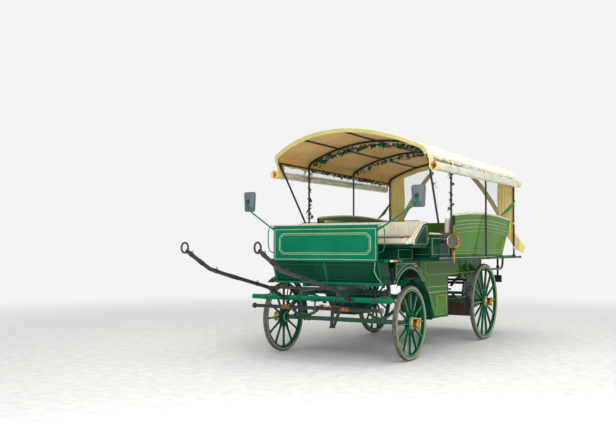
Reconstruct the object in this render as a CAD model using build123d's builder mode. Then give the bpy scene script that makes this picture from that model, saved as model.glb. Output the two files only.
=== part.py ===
from build123d import *
from math import atan2, cos, degrees, radians, sin, sqrt
import os

# A horse-drawn wagonette: millimetres, +X forward, +Y to its left, +Z up, ground at Z 0.
# The origin lies on the ground under the middle of the whole, shafts included.

# Wheels and axles
front_wheel_dia = 870
rear_wheel_dia = 1080
front_spokes = 12
rear_spokes = 14
wheelbase = 2560
track = 1750
tyre_width = 50
tyre_depth = 26
felloe_depth = 38
felloe_width = 44
nave_radius = 72
nave_length = 90
nave_band_radius = 82
nave_band_width = 24
spoke_root_radius = 18
spoke_tip_radius = 13
cap_base_radius = 52
cap_rim_radius = 63
cap_length = 73
cap_rim_width = 18
arm_radius = 24
running_gap = 0.05
axle_size = 50

# Overall reach, from the front axle
shaft_reach = 2500
deck_tail = 3770
front_axle_x = (deck_tail - shaft_reach) / 2
rear_axle_x = front_axle_x - wheelbase


def station(ahead):
    """The X of a place that is so far ahead of the front axle."""
    return front_axle_x + ahead


# Heights
body_bottom = 885
footboard_thick = 20
floor_top = 950
floor_thick = 20
arch_lid_top = 1075
deck_top = 1190
deck_thick = 40
seat_board_top = 1335
seat_board_thick = 25

# Body plan
body_half = 750
body_skin = 20
deck_half = 1060
deck_front = station(-450)
deck_end = station(-deck_tail)
deck_step = station(-2260)
rail_radius = 15
aisle_half = 400
aisle_wall = 20
aisle_front = station(-640)
body_rear = station(-2760)

# Driver's front
dash_half = body_half - 50
dash_face = station(490)
dash_thick = 22
dash_top = 1570
toe_foot = station(372)
toe_thick = 16
toe_rise = 96
wing_thick = 22
wing_depth = 200
ledge_thick = 22
ledge_half = body_half + 35

# Wheel arch in the body side
arch_x = station(-290)
arch_z = 570
arch_radius = 480
side_front = station(120)

# Drop locker
locker_front = station(-1040)
locker_knee = station(-770)
locker_rear = station(-1500)
locker_bottom = 400
locker_inner = 400
door_height = 285
door_front_gap = 60
door_thick = 18
door_clear = 3

# Driver's seat
seat_front = station(60)
seat_rear = station(-440)
seat_half = 920
seat_cushion = 95
seat_back_thick = 90
seat_back_top = 1640

# Sides
side_foot_y = 931
side_top_y = 1020
side_thick = 24
side_outer = side_foot_y + side_thick
low_side_top = 1470
tall_front = station(-1065)
tall_rear_foot = station(-3150)
tall_rear_head = station(-3370)
trunk_rear = station(-3000)
tall_front_top = 1720
tall_mid_top = 1775

# Benches
bench_front = station(-560)
bench_rear = station(-2965)
bench_inner = 430
bench_top = 1350
bench_cushion = 90
bench_pad_thick = 70
soft_gap = 0.3

# Rear door
door_half = 385
rear_wall_thick = 24
rear_wall_top = 1690
door_sill_gap = 8
hinge_pin = 6
hinge_knuckle = 12
hinge_length = 40
hinge_ear = 10
hinge_inset = 110

# Canopy
post_radius = 13
eaves_radius = 12
post_y = 1042
eaves_front = 2415
eaves_rear = 2365
hoop_rake = 0.8
roof_front = station(-110)
roof_length = 3370
roof_rise = 315
roof_corner = 100
roof_cloth = 8
valance_drop = 25
roll_radius = 55
roll_drop = 145
roll_rise = 50

# Canopy posts, as stations from the front axle
posts_ahead = roof_front - front_axle_x
rear_post = roof_length - 25
posts = [-890, -2190, posts_ahead - rear_post]

# Fore-carriage
ring_radius = 300
ring_width = 45
ring_thick = 20
ring_gap = 1
ring_top = 842
kingpin_radius = 20
bolster_size = 60
bolster_half = 620
futchell_y = 250
futchell_size = 45
splinter_x = station(590)
splinter_z = 722
splinter_radius = 30
splinter_half = 800
spring_y = 520
spring_length = 860
spring_width = 45
leaf_end = 10
leaf_mid = 26
guard_radius = 520
guard_thick = 4
guard_inner = 841
guard_outer = 935
guard_start = 58
guard_end = 180
stay_radius = 8

# Draught bar and shafts
bar_x = station(680)
bar_z = 618
bar_radius = 21
bar_half = 860
bar_pin = 10
bar_nut = 12
shaft_y = 440
shaft_radius = 21
shaft_pin_x = station(650)
shaft_pin = 10
lug_thick = 12


def block(low, high, mode=Mode.ADD):
    """A box between two opposite corners."""
    size = [b - a for a, b in zip(low, high)]
    middle = tuple((a + b) / 2 for a, b in zip(low, high))
    with Locations(middle):
        Box(*size, mode=mode)


def tube(points, radius, bend=0):
    """A round bar along straight runs, with arcs of one radius between them."""
    with BuildLine() as path:
        if len(points) == 2:
            Line(*points)
        else:
            FilletPolyline(*points, radius=bend)
    with BuildSketch(Plane(origin=path.line @ 0, z_dir=path.line % 0)) as section:
        Circle(radius)
    sweep(section.sketch, path=path.line)


def side_plate(points, low_y, high_y, mode=Mode.ADD):
    """A flat plate with an outline in X and Z, between two places in Y."""
    with BuildSketch(Plane.XZ.offset(-low_y)) as outline:
        with BuildLine():
            Polyline(*points, close=True)
        make_face()
    extrude(outline.sketch, amount=low_y - high_y, mode=mode)


def pin_y(x, y, z, radius, length, mode=Mode.ADD):
    """A round bar across the vehicle, centred on a place."""
    with Locations(Location((x, y, z), (90, 0, 0))):
        Cylinder(radius, length, mode=mode)


# Wheels: name, axle x, side, diameter, spokes
wheels = [
    ("front_left", front_axle_x, 1, front_wheel_dia, front_spokes),
    ("front_right", front_axle_x, -1, front_wheel_dia, front_spokes),
    ("rear_left", rear_axle_x, 1, rear_wheel_dia, rear_spokes),
    ("rear_right", rear_axle_x, -1, rear_wheel_dia, rear_spokes),
]

os.makedirs("parts", exist_ok=True)

for name, axle_x, hand, diameter, spokes in wheels:
    radius = diameter / 2
    felloe_outer = radius - tyre_depth
    felloe_inner = felloe_outer - felloe_depth
    face = Plane(origin=(axle_x, hand * track / 2, radius), x_dir=(1, 0, 0), z_dir=(0, hand, 0))

    with BuildPart() as wheel:
        with BuildSketch(face.offset(-felloe_width / 2)):
            Circle(felloe_outer)
            Circle(felloe_inner, mode=Mode.SUBTRACT)
        extrude(amount=felloe_width)
        with BuildSketch(face.offset(-nave_length / 2)):
            Circle(nave_radius)
        extrude(amount=nave_length)
        with BuildSketch(face.offset(-nave_band_width / 2)):
            Circle(nave_band_radius)
        extrude(amount=nave_band_width)
        spoke_start = nave_radius / 2
        spoke_length = felloe_inner + felloe_depth / 3 - spoke_start
        for turn in range(spokes):
            angle = radians(360 * turn / spokes)
            along = face.x_dir * cos(angle) + face.y_dir * sin(angle)
            root = Plane(origin=face.origin + along * spoke_start, z_dir=along)
            with BuildSketch(root):
                Circle(spoke_root_radius)
            with BuildSketch(root.offset(spoke_length)):
                Circle(spoke_tip_radius)
            loft()
        with BuildSketch(face.offset(-nave_length / 2)):
            Circle(arm_radius + running_gap)
        extrude(amount=nave_length, mode=Mode.SUBTRACT)
    wheel.part.label = f"wheel_{name}"
    export_step(wheel.part, f"parts/wheel_{name}.step")

    with BuildPart() as tyre:
        with BuildSketch(face.offset(-tyre_width / 2)):
            Circle(radius)
            Circle(felloe_outer, mode=Mode.SUBTRACT)
        extrude(amount=tyre_width)
    tyre.part.label = f"tyre_{name}"
    export_step(tyre.part, f"parts/tyre_{name}.step")

    with BuildPart() as cap:
        with BuildSketch(face.offset(nave_length / 2)):
            Circle(cap_base_radius)
        extrude(amount=cap_length)
        with BuildSketch(face.offset(nave_length / 2 + cap_length - cap_rim_width)):
            Circle(cap_rim_radius)
        extrude(amount=cap_rim_width)
    cap.part.label = f"hub_cap_{name}"
    export_step(cap.part, f"parts/hub_cap_{name}.step")

# Axles: name, x, wheel radius
for name, axle_x, radius in (
    ("front_axle", front_axle_x, front_wheel_dia / 2),
    ("rear_axle", rear_axle_x, rear_wheel_dia / 2),
):
    beam_half = track / 2 - nave_length / 2 - 5
    with BuildPart() as axle:
        block(
            (axle_x - axle_size / 2, -beam_half, radius - axle_size / 2),
            (axle_x + axle_size / 2, beam_half, radius + axle_size / 2),
        )
        pin_y(axle_x, 0, radius, arm_radius, track + nave_length - 10)
    axle.part.label = name
    export_step(axle.part, f"parts/{name}.step")


def elliptic(x, y, low, high):
    """A full elliptic leaf spring between two heights."""
    mid = (low + high) / 2
    rise = (high - low) / 2
    half = spring_length / 2
    with BuildSketch(Plane.XZ.offset(-(y - spring_width / 2))) as leaves:
        with BuildLine():
            ThreePointArc((x - half, mid), (x, mid + rise), (x + half, mid))
            ThreePointArc((x + half, mid), (x, mid - rise), (x - half, mid))
        make_face()
        with BuildLine():
            inner = half - 2 * leaf_end
            ThreePointArc((x - inner, mid), (x, mid + rise - leaf_mid), (x + inner, mid))
            ThreePointArc((x + inner, mid), (x, mid - rise + leaf_mid), (x - inner, mid))
        make_face(mode=Mode.SUBTRACT)
    extrude(leaves.sketch, amount=-spring_width)


bolster_top = ring_top - ring_thick - ring_gap - ring_thick
front_spring_low = front_wheel_dia / 2 + axle_size / 2
front_spring_high = bolster_top - bolster_size
rear_frame_low = floor_top - floor_thick - 45
rear_spring_low = rear_wheel_dia / 2 + axle_size / 2

for name, axle_x, low, high in (
    ("front_springs", front_axle_x, front_spring_low, front_spring_high),
    ("rear_springs", rear_axle_x, rear_spring_low, rear_frame_low),
):
    with BuildPart() as springs:
        for hand in (-1, 1):
            elliptic(axle_x, hand * spring_y, low, high)
    springs.part.label = name
    export_step(springs.part, f"parts/{name}.step")

# Underframe: two rails with cross members, the upper turntable ring and the kingpin
frame_y = 360
frame_width = 50
with BuildPart() as underframe:
    for hand in (-1, 1):
        side = hand * frame_y
        block(
            (trunk_rear, side - frame_width / 2, rear_frame_low),
            (locker_knee, side + frame_width / 2, floor_top - floor_thick),
        )
        block(
            (locker_knee - frame_width, side - frame_width / 2, ring_top),
            (station(330), side + frame_width / 2, body_bottom),
        )
        block(
            (locker_knee - frame_width, side - frame_width / 2, ring_top),
            (locker_knee, side + frame_width / 2, floor_top - floor_thick),
        )
    for cross in (-250, 0, 250):
        block(
            (station(cross) - frame_width / 2, -frame_y, ring_top),
            (station(cross) + frame_width / 2, frame_y, body_bottom),
        )
    for cross in (-820, -1560, -2950):
        block(
            (station(cross) - frame_width / 2, -frame_y, rear_frame_low),
            (station(cross) + frame_width / 2, frame_y, floor_top - floor_thick),
        )
    block(
        (rear_axle_x - frame_width, -spring_y - spring_width / 2, rear_frame_low),
        (rear_axle_x + frame_width, spring_y + spring_width / 2, floor_top - floor_thick),
    )
    with BuildSketch(Plane.XY.offset(ring_top - ring_thick)):
        with Locations((front_axle_x, 0)):
            Circle(ring_radius)
            Circle(ring_radius - ring_width, mode=Mode.SUBTRACT)
    extrude(amount=ring_thick)
    with Locations((front_axle_x, 0, (bolster_top - bolster_size + ring_top) / 2)):
        Cylinder(kingpin_radius, ring_top - bolster_top + bolster_size)
underframe.part.label = "underframe"
export_step(underframe.part, "parts/underframe.step")

# Fore-carriage frame: lower ring, bolster, futchells, splinter bar and its lugs
lower_ring_top = ring_top - ring_thick - ring_gap
with BuildPart() as fore_frame:
    with BuildSketch(Plane.XY.offset(lower_ring_top - ring_thick)):
        with Locations((front_axle_x, 0)):
            Circle(ring_radius)
            Circle(ring_radius - ring_width, mode=Mode.SUBTRACT)
    extrude(amount=ring_thick)
    block(
        (front_axle_x - bolster_size / 2, -bolster_half, bolster_top - bolster_size),
        (front_axle_x + bolster_size / 2, bolster_half, bolster_top),
    )
    for hand in (-1, 1):
        side = hand * futchell_y
        block(
            (station(-280), side - futchell_size / 2, bolster_top - futchell_size),
            (splinter_x, side + futchell_size / 2, bolster_top),
        )
        block(
            (splinter_x - futchell_size / 2, side - futchell_size / 2, splinter_z),
            (splinter_x, side + futchell_size / 2, bolster_top),
        )
    pin_y(splinter_x, 0, splinter_z, splinter_radius, 2 * splinter_half)
    for hand in (-1, 1):
        for edge in (-1, 1):
            y = hand * shaft_y + edge * (shaft_radius + lug_thick / 2 + 2)
            side_plate(
                [
                    (splinter_x, splinter_z - splinter_radius),
                    (shaft_pin_x + shaft_pin + 8, splinter_z - shaft_pin - 8),
                    (shaft_pin_x + shaft_pin + 8, splinter_z + shaft_pin + 8),
                    (splinter_x, splinter_z + splinter_radius),
                ],
                y - lug_thick / 2,
                y + lug_thick / 2,
            )
        pin_y(shaft_pin_x, hand * shaft_y, splinter_z, shaft_pin, 2 * (shaft_radius + lug_thick + 4))
    block(
        (splinter_x, -40, splinter_z - splinter_radius),
        (bar_x + 30, 40, splinter_z - splinter_radius + 16),
    )
    pin_low = bar_z - bar_radius - soft_gap - bar_nut
    with Locations((bar_x, 0, (splinter_z - splinter_radius + pin_low) / 2)):
        Cylinder(bar_pin, splinter_z - splinter_radius - pin_low)
    with Locations((bar_x, 0, pin_low + bar_nut / 2)):
        Cylinder(2 * bar_pin, bar_nut)
    with Locations((front_axle_x, 0, bolster_top - bolster_size / 2)):
        Cylinder(kingpin_radius + running_gap, bolster_size, mode=Mode.SUBTRACT)
fore_frame.part.label = "fore_frame"
export_step(fore_frame.part, "parts/fore_frame.step")

# Front mudguards: a curved sheet round each wheel, on two stays from the axle
guard_z = front_wheel_dia / 2
with BuildPart() as guards:
    for hand in (-1, 1):
        inner = min(hand * guard_inner, hand * guard_outer)
        with BuildSketch(Plane.XZ.offset(-inner)):
            with BuildLine():
                for reach in (guard_radius, guard_radius + guard_thick):
                    CenterArc((front_axle_x, guard_z), reach, guard_start, guard_end - guard_start)
                for angle in (guard_start, guard_end):
                    PolarLine(
                        (front_axle_x + guard_radius * cos(radians(angle)),
                         guard_z + guard_radius * sin(radians(angle))),
                        guard_thick,
                        angle,
                    )
            make_face()
        extrude(amount=-(guard_outer - guard_inner))
        foot_y = hand * 700
        stay_y = hand * (guard_inner + 1 - stay_radius)
        for angle, foot_x in ((100, 12), (140, -12)):
            tip_x = front_axle_x + (guard_radius + guard_thick) * cos(radians(angle))
            tip_z = guard_z + (guard_radius + guard_thick) * sin(radians(angle))
            tube(
                [
                    (front_axle_x + foot_x, foot_y, guard_z + axle_size / 2),
                    (front_axle_x + foot_x, foot_y, guard_z + 110),
                    (front_axle_x + foot_x, stay_y, guard_z + 190),
                    (tip_x, stay_y, tip_z),
                ],
                stay_radius,
                30,
            )
guards.part.label = "front_guards"
export_step(guards.part, "parts/front_guards.step")

# Draught bar
with BuildPart() as draught_bar:
    pin_y(bar_x, 0, bar_z, bar_radius, 2 * bar_half)
    for hand in (-1, 1):
        pin_y(bar_x, hand * (bar_half - 15), bar_z, bar_radius + 9, 30)
    with Locations((bar_x, 0, bar_z)):
        Cylinder(bar_radius + 14, 2 * bar_radius)
        Cylinder(bar_pin + running_gap, 2 * bar_radius + 2, mode=Mode.SUBTRACT)
draught_bar.part.label = "draught_bar"
export_step(draught_bar.part, "parts/draught_bar.step")

# Shafts: each bend of one shaft, as its share of the run from the hinge pin to the tip, and its height
shaft_bends = [(0.1892, 862), (0.4324, 958), (0.6216, 1032), (0.7568, 1092), (0.8865, 1215)]
tip_loop = 50
tip_radius = 10
tip_x = station(shaft_reach - tip_loop - tip_radius)
tip_z = 1310
shaft_line = [(shaft_pin_x, splinter_z)]
for share, z in shaft_bends:
    shaft_line.append((shaft_pin_x + share * (station(shaft_reach) - shaft_pin_x), z))
shaft_line.append((tip_x - 30, tip_z - 30))
cross_x, cross_z = shaft_line[1]
with BuildPart() as shafts:
    for hand in (-1, 1):
        tube([(x, hand * shaft_y, z) for x, z in shaft_line], shaft_radius, 180)
        with Locations(Location((tip_x, hand * shaft_y, tip_z), (90, 0, 0))):
            Torus(tip_loop, tip_radius)
        pin_y(shaft_pin_x, hand * shaft_y, splinter_z, shaft_radius + 3, 2 * shaft_radius)
        pin_y(shaft_pin_x, hand * shaft_y, splinter_z, shaft_pin + running_gap, 60, mode=Mode.SUBTRACT)
    tube([(cross_x, -shaft_y, cross_z), (cross_x, shaft_y, cross_z)], 16)
shafts.part.label = "shafts"
export_step(shafts.part, "parts/shafts.step")


# Body floor: footboard, wheel-arch roof, passengers' floor and the walls between them
deck_low = deck_top - deck_thick
side_inner = body_half - body_skin
floor_low = floor_top - floor_thick
with BuildPart() as floor:
    block((side_front, -side_inner, body_bottom), (toe_foot + 26, side_inner, body_bottom + footboard_thick))
    block((side_front - floor_thick, -side_inner, body_bottom), (side_front, side_inner, arch_lid_top))
    block((locker_knee, -side_inner, arch_lid_top - floor_thick), (side_front, side_inner, arch_lid_top))
    block((locker_knee, -side_inner, floor_low), (locker_knee + floor_thick, side_inner, arch_lid_top))
    block((body_rear, -side_inner, floor_low), (locker_knee + floor_thick, side_inner, floor_top))
    block((trunk_rear, -aisle_half - aisle_wall, floor_low), (body_rear, aisle_half + aisle_wall, floor_top))
    for hand in (-1, 1):
        near = hand * aisle_half
        far = hand * (aisle_half + aisle_wall)
        block(
            (trunk_rear, min(near, far), floor_top),
            (locker_knee + floor_thick, max(near, far), deck_low),
        )
        far = hand * side_inner
        block(
            (body_rear, min(near, far), floor_low),
            (body_rear + floor_thick, max(near, far), deck_low),
        )
floor.part.label = "floor"
export_step(floor.part, "parts/floor.step")

# Lower side panels with the wheel arches and the locker doorways cut out
door_low = locker_bottom + 25
door_front = locker_front - door_front_gap
door_rear = locker_rear + 20
with BuildPart() as body_sides:
    for hand in (-1, 1):
        low_y = min(hand * side_inner, hand * body_half)
        side_plate(
            [
                (side_front, body_bottom),
                (side_front, deck_low),
                (body_rear, deck_low),
                (body_rear, floor_low),
                (locker_rear, floor_low),
                (locker_rear, locker_bottom),
                (locker_front, locker_bottom + 20),
                (locker_knee, 780),
                (locker_knee + 40, body_bottom),
            ],
            low_y,
            low_y + body_skin,
        )
        pin_y(arch_x, hand * body_half, arch_z, arch_radius, 4 * body_skin, mode=Mode.SUBTRACT)
        block(
            (door_rear, hand * body_half - 2 * body_skin, door_low),
            (door_front, hand * body_half + 2 * body_skin, door_low + door_height),
            mode=Mode.SUBTRACT,
        )
body_sides.part.label = "body_sides"
export_step(body_sides.part, "parts/body_sides.step")

# Drop lockers: a hollow box inside each side panel
locker_wall = 18
with BuildPart() as lockers:
    for hand in (-1, 1):
        near = hand * locker_inner
        far = hand * side_inner
        side_plate(
            [
                (locker_knee, floor_low),
                (locker_knee, 780),
                (locker_front, locker_bottom + 20),
                (locker_front, locker_bottom),
                (locker_rear, locker_bottom),
                (locker_rear, floor_low),
            ],
            min(near, far),
            max(near, far),
        )
        near = hand * (locker_inner + locker_wall)
        far = hand * (side_inner + locker_wall)
        side_plate(
            [
                (locker_knee - locker_wall, floor_low + 1),
                (locker_knee - locker_wall, 776),
                (locker_front - locker_wall, locker_bottom + 16),
                (locker_front - locker_wall, locker_bottom + locker_wall),
                (locker_rear + locker_wall, locker_bottom + locker_wall),
                (locker_rear + locker_wall, floor_low + 1),
            ],
            min(near, far),
            max(near, far),
            mode=Mode.SUBTRACT,
        )
lockers.part.label = "lockers"
export_step(lockers.part, "parts/lockers.step")

# Locker doors, hinged at the bottom on two pins, each with a brass handle
door_pin_y = body_half + 8
door_pin_z = door_low - 8
door_pin_radius = 4
door_knuckle = 8
door_knuckle_length = 40
with BuildPart() as door_hinges:
    for hand in (-1, 1):
        for place in (0.2, 0.8):
            x = door_rear + place * (door_front - door_rear)
            with Locations(Location((x, hand * door_pin_y, door_pin_z), (0, 90, 0))):
                Cylinder(door_pin_radius, door_knuckle_length + 30)
            for edge in (-1, 1):
                low_x = x + edge * (door_knuckle_length / 2 + 10) - 5
                far = hand * (door_pin_y + 5)
                block(
                    (low_x, min(hand * body_half, far), door_pin_z - 6),
                    (low_x + 10, max(hand * body_half, far), door_pin_z + 6),
                )
door_hinges.part.label = "locker_hinges"
export_step(door_hinges.part, "parts/locker_hinges.step")

for hand, name in ((1, "left"), (-1, "right")):
    with BuildPart() as door:
        near = hand * (body_half - door_thick)
        far = hand * body_half
        block(
            (door_rear + door_clear, min(near, far), door_low + door_clear),
            (door_front - door_clear, max(near, far), door_low + door_height - door_clear),
        )
        for place in (0.2, 0.8):
            x = door_rear + place * (door_front - door_rear)
            with Locations(Location((x, hand * door_pin_y, door_pin_z), (0, 90, 0))):
                Cylinder(door_knuckle, door_knuckle_length)
            near = hand * body_half
            far = hand * (body_half + 5)
            block(
                (x - door_knuckle_length / 2, min(near, far), door_pin_z),
                (x + door_knuckle_length / 2, max(near, far), door_low + 60),
            )
            with Locations(Location((x, hand * door_pin_y, door_pin_z), (0, 90, 0))):
                Cylinder(door_pin_radius + running_gap, door_knuckle_length + 2, mode=Mode.SUBTRACT)
    door.part.label = f"locker_door_{name}"
    export_step(door.part, f"parts/locker_door_{name}.step")

    handle_x = (door_front + door_rear) / 2
    handle_z = door_low + door_height - 40
    with BuildPart() as handle:
        pin_y(handle_x, hand * (body_half + 15), handle_z, 8, 30)
        with Locations(Location((handle_x, hand * (body_half + 34), handle_z), (0, 90, 0))):
            Cylinder(9, 90)
    handle.part.label = f"locker_handle_{name}"
    export_step(handle.part, f"parts/locker_handle_{name}.step")

# Deck: the platform that carries the benches and overhangs the wheels
with BuildPart() as deck:
    block((deck_step, -deck_half, deck_low), (deck_front, deck_half, deck_top))
    block((deck_end, -side_outer - 5, deck_low), (deck_step, side_outer + 5, deck_top))
    block(
        (deck_end - 1, -aisle_half, deck_low - 1),
        (aisle_front, aisle_half, deck_top + 1),
        mode=Mode.SUBTRACT,
    )
    for hand in (-1, 1):
        rail_y = hand * (deck_half - rail_radius)
        with Locations(Location(((deck_end + deck_step) / 2, rail_y, deck_low + rail_radius), (0, 90, 0))):
            Cylinder(rail_radius, deck_step - deck_end)
        for ahead in (posts[-1], -2900):
            near = hand * (side_outer + 4)
            far = hand * deck_half
            block(
                (station(ahead) - 25, min(near, far), deck_low),
                (station(ahead) + 25, max(near, far), deck_top),
            )
deck.part.label = "deck"
export_step(deck.part, "parts/deck.step")

# Dash: the upright panel, its cap, and the ledges that run back from it
with BuildPart() as dash:
    block((dash_face - dash_thick, -dash_half, deck_low), (dash_face, dash_half, dash_top))
    block(
        (dash_face - dash_thick - 8, -dash_half - 6, dash_top),
        (dash_face + 8, dash_half + 6, dash_top + 14),
    )
dash.part.label = "dash_panel"
export_step(dash.part, "parts/dash_panel.step")

with BuildPart() as ledges:
    for hand in (-1, 1):
        near = hand * (dash_half - 10)
        far = hand * ledge_half
        block(
            (station(20), min(near, far), deck_low),
            (dash_face - dash_thick, max(near, far), deck_low + ledge_thick),
        )
ledges.part.label = "side_ledges"
export_step(ledges.part, "parts/side_ledges.step")

# Sloping toe board with a wing at each end
toe_low = body_bottom + footboard_thick
toe_profile = [
    (toe_foot, toe_low),
    (toe_foot + toe_thick, toe_low),
    (toe_foot + toe_thick + toe_rise, deck_low),
    (toe_foot + toe_rise, deck_low),
]
wing_inner = side_inner - wing_thick
with BuildPart() as toe_board:
    side_plate(toe_profile, -side_inner, side_inner)
    for hand in (-1, 1):
        low_y = min(hand * wing_inner, hand * side_inner)
        side_plate(
            [
                (toe_foot + toe_thick, toe_low),
                (toe_foot + toe_thick + toe_rise, deck_low),
                (toe_foot + toe_thick + toe_rise - wing_depth, deck_low),
                (toe_foot + toe_thick - wing_depth, toe_low),
            ],
            low_y,
            low_y + wing_thick,
        )
toe_board.part.label = "toe_board"
export_step(toe_board.part, "parts/toe_board.step")

# Driver's seat: box, board with end panels, cushion, arm pads and back pad
seat_board_low = seat_board_top - seat_board_thick
seat_box_front = station(20)
seat_box_rear = station(-430)
with BuildPart() as seat_box:
    block((seat_box_rear, -side_inner, arch_lid_top), (seat_box_front, side_inner, seat_board_low))
    block(
        (seat_box_rear + 20, -side_inner + 20, arch_lid_top - 1),
        (seat_box_front - 20, side_inner - 20, seat_board_low - 20),
        mode=Mode.SUBTRACT,
    )
seat_box.part.label = "seat_box"
export_step(seat_box.part, "parts/seat_box.step")

seat_end = 24
seat_rear_board = 22
with BuildPart() as seat_board:
    block((seat_rear, -seat_half, seat_board_low), (seat_front, seat_half, seat_board_top))
    block(
        (seat_rear, -seat_half, seat_board_top),
        (seat_rear + seat_rear_board, seat_half, seat_back_top - 30),
    )
    for hand in (-1, 1):
        low_y = min(hand * seat_half, hand * (seat_half - seat_end))
        side_plate(
            [
                (seat_rear, seat_board_top),
                (seat_rear, seat_back_top - 30),
                (seat_rear + 150, seat_back_top - 60),
                (station(-50), seat_board_top + 60),
                (station(-50), seat_board_top),
            ],
            low_y,
            low_y + seat_end,
        )
seat_board.part.label = "driver_seat"
export_step(seat_board.part, "parts/driver_seat.step")

cushion_low = seat_board_top + soft_gap
cushion_half = seat_half - seat_end - 46
back_pad_rear = seat_rear + seat_rear_board + soft_gap
with BuildPart() as seat_cushion_pad:
    block(
        (back_pad_rear, -cushion_half, cushion_low),
        (seat_front - 5, cushion_half, cushion_low + seat_cushion),
    )
seat_cushion_pad.part.label = "driver_cushion"
export_step(seat_cushion_pad.part, "parts/driver_cushion.step")

with BuildPart() as seat_back_pad:
    block(
        (back_pad_rear, -cushion_half, cushion_low + seat_cushion + soft_gap),
        (back_pad_rear + seat_back_thick, cushion_half, seat_back_top),
    )
seat_back_pad.part.label = "driver_back_pad"
export_step(seat_back_pad.part, "parts/driver_back_pad.step")

with BuildPart() as arm_pads:
    for hand in (-1, 1):
        near = hand * (cushion_half + soft_gap)
        far = hand * (seat_half - seat_end - soft_gap)
        side_plate(
            [
                (seat_front + 55, cushion_low),
                (back_pad_rear, cushion_low),
                (back_pad_rear, seat_back_top),
                (back_pad_rear + seat_back_thick, seat_back_top - 10),
                (seat_front + 55, seat_board_top + 40),
            ],
            min(near, far),
            max(near, far),
        )
arm_pads.part.label = "driver_arm_pads"
export_step(arm_pads.part, "parts/driver_arm_pads.step")

# Low middle sides
with BuildPart() as low_sides:
    for hand in (-1, 1):
        near = hand * side_foot_y
        far = hand * side_outer
        block(
            (tall_front, min(near, far), deck_top),
            (deck_front, max(near, far), low_side_top),
        )
low_sides.part.label = "low_sides"
export_step(low_sides.part, "parts/low_sides.step")

# Tall rear sides: flared outwards, with a crowned top edge and a raked rear edge
tall_head = 1790
side_lean = (side_top_y - side_outer) / (tall_mid_top - deck_top)
head_shift = side_lean * (tall_head - deck_top)
with BuildPart() as tall_sides:
    with BuildSketch(Plane.XZ.offset(-side_foot_y + 10)):
        with BuildLine():
            Polyline(
                (tall_rear_head, tall_front_top),
                (tall_rear_foot, deck_top),
                (tall_front, deck_top),
                (tall_front, tall_front_top),
            )
            ThreePointArc(
                (tall_front, tall_front_top),
                ((tall_front + tall_rear_head) / 2, tall_mid_top),
                (tall_rear_head, tall_front_top),
            )
        make_face()
    extrude(amount=-120)
    with BuildSketch(Plane.YZ.offset(tall_rear_head - 10)):
        with BuildLine():
            Polyline(
                (side_foot_y, deck_top),
                (side_outer, deck_top),
                (side_outer + head_shift, tall_head),
                (side_foot_y + head_shift, tall_head),
                close=True,
            )
        make_face()
    extrude(amount=tall_front - tall_rear_head + 20, mode=Mode.INTERSECT)
    mirror(about=Plane.XZ)
tall_sides.part.label = "tall_sides"
export_step(tall_sides.part, "parts/tall_sides.step")

# Side benches, their cushions and the pads along the sides
bench_board = 22
with BuildPart() as benches:
    for hand in (-1, 1):
        for near, far, low, high in (
            (bench_inner, bench_inner + 20, deck_top, bench_top - bench_board),
            (bench_inner, side_foot_y, bench_top - bench_board, bench_top),
        ):
            block(
                (bench_rear, min(hand * near, hand * far), low),
                (bench_front, max(hand * near, hand * far), high),
            )
benches.part.label = "benches"
export_step(benches.part, "parts/benches.step")

pad_inner = side_foot_y - soft_gap - bench_pad_thick
with BuildPart() as bench_cushions:
    for hand in (-1, 1):
        near = hand * (bench_inner - 10)
        far = hand * (side_foot_y - soft_gap)
        block(
            (bench_rear + 5, min(near, far), bench_top + soft_gap),
            (bench_front - 5, max(near, far), bench_top + soft_gap + bench_cushion),
        )
bench_cushions.part.label = "bench_cushions"
export_step(bench_cushions.part, "parts/bench_cushions.step")

pad_low = bench_top + bench_cushion + 2 * soft_gap
with BuildPart() as side_pads:
    for hand in (-1, 1):
        near = hand * pad_inner
        far = hand * (side_foot_y - soft_gap)
        block(
            (bench_rear + 5, min(near, far), pad_low),
            (tall_front - 10, max(near, far), tall_front_top - 20),
        )
        block(
            (tall_front - 5, min(near, far), pad_low),
            (bench_front - 5, max(near, far), low_side_top + 10),
        )
side_pads.part.label = "side_pads"
export_step(side_pads.part, "parts/side_pads.step")

# Rear wall each side of the doorway, trimmed along the flared sides, with the door's hinge pins
hinge_x = trunk_rear - hinge_knuckle - 2
hinge_y = -(aisle_half + door_half) / 2
hinge_heights = (deck_top + hinge_inset, rear_wall_top - hinge_inset)
with BuildPart() as rear_wall:
    for hand in (-1, 1):
        with BuildSketch(Plane.YZ.offset(trunk_rear)):
            with BuildLine():
                Polyline(
                    (hand * aisle_half, deck_top),
                    (hand * side_foot_y, deck_top),
                    (hand * (side_foot_y + side_lean * (rear_wall_top - deck_top)), rear_wall_top),
                    (hand * aisle_half, rear_wall_top),
                    close=True,
                )
            make_face()
        extrude(amount=rear_wall_thick)
    for z in hinge_heights:
        with Locations((hinge_x, hinge_y, z)):
            Cylinder(hinge_pin, hinge_length + 6 + 2 * hinge_ear)
        for edge in (-1, 1):
            mid_z = z + edge * (hinge_length + 6 + hinge_ear) / 2
            block(
                (hinge_x - hinge_pin, hinge_y - 40, mid_z - hinge_ear / 2),
                (trunk_rear, hinge_y + hinge_pin, mid_z + hinge_ear / 2),
            )
rear_wall.part.label = "rear_wall"
export_step(rear_wall.part, "parts/rear_wall.step")

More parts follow.
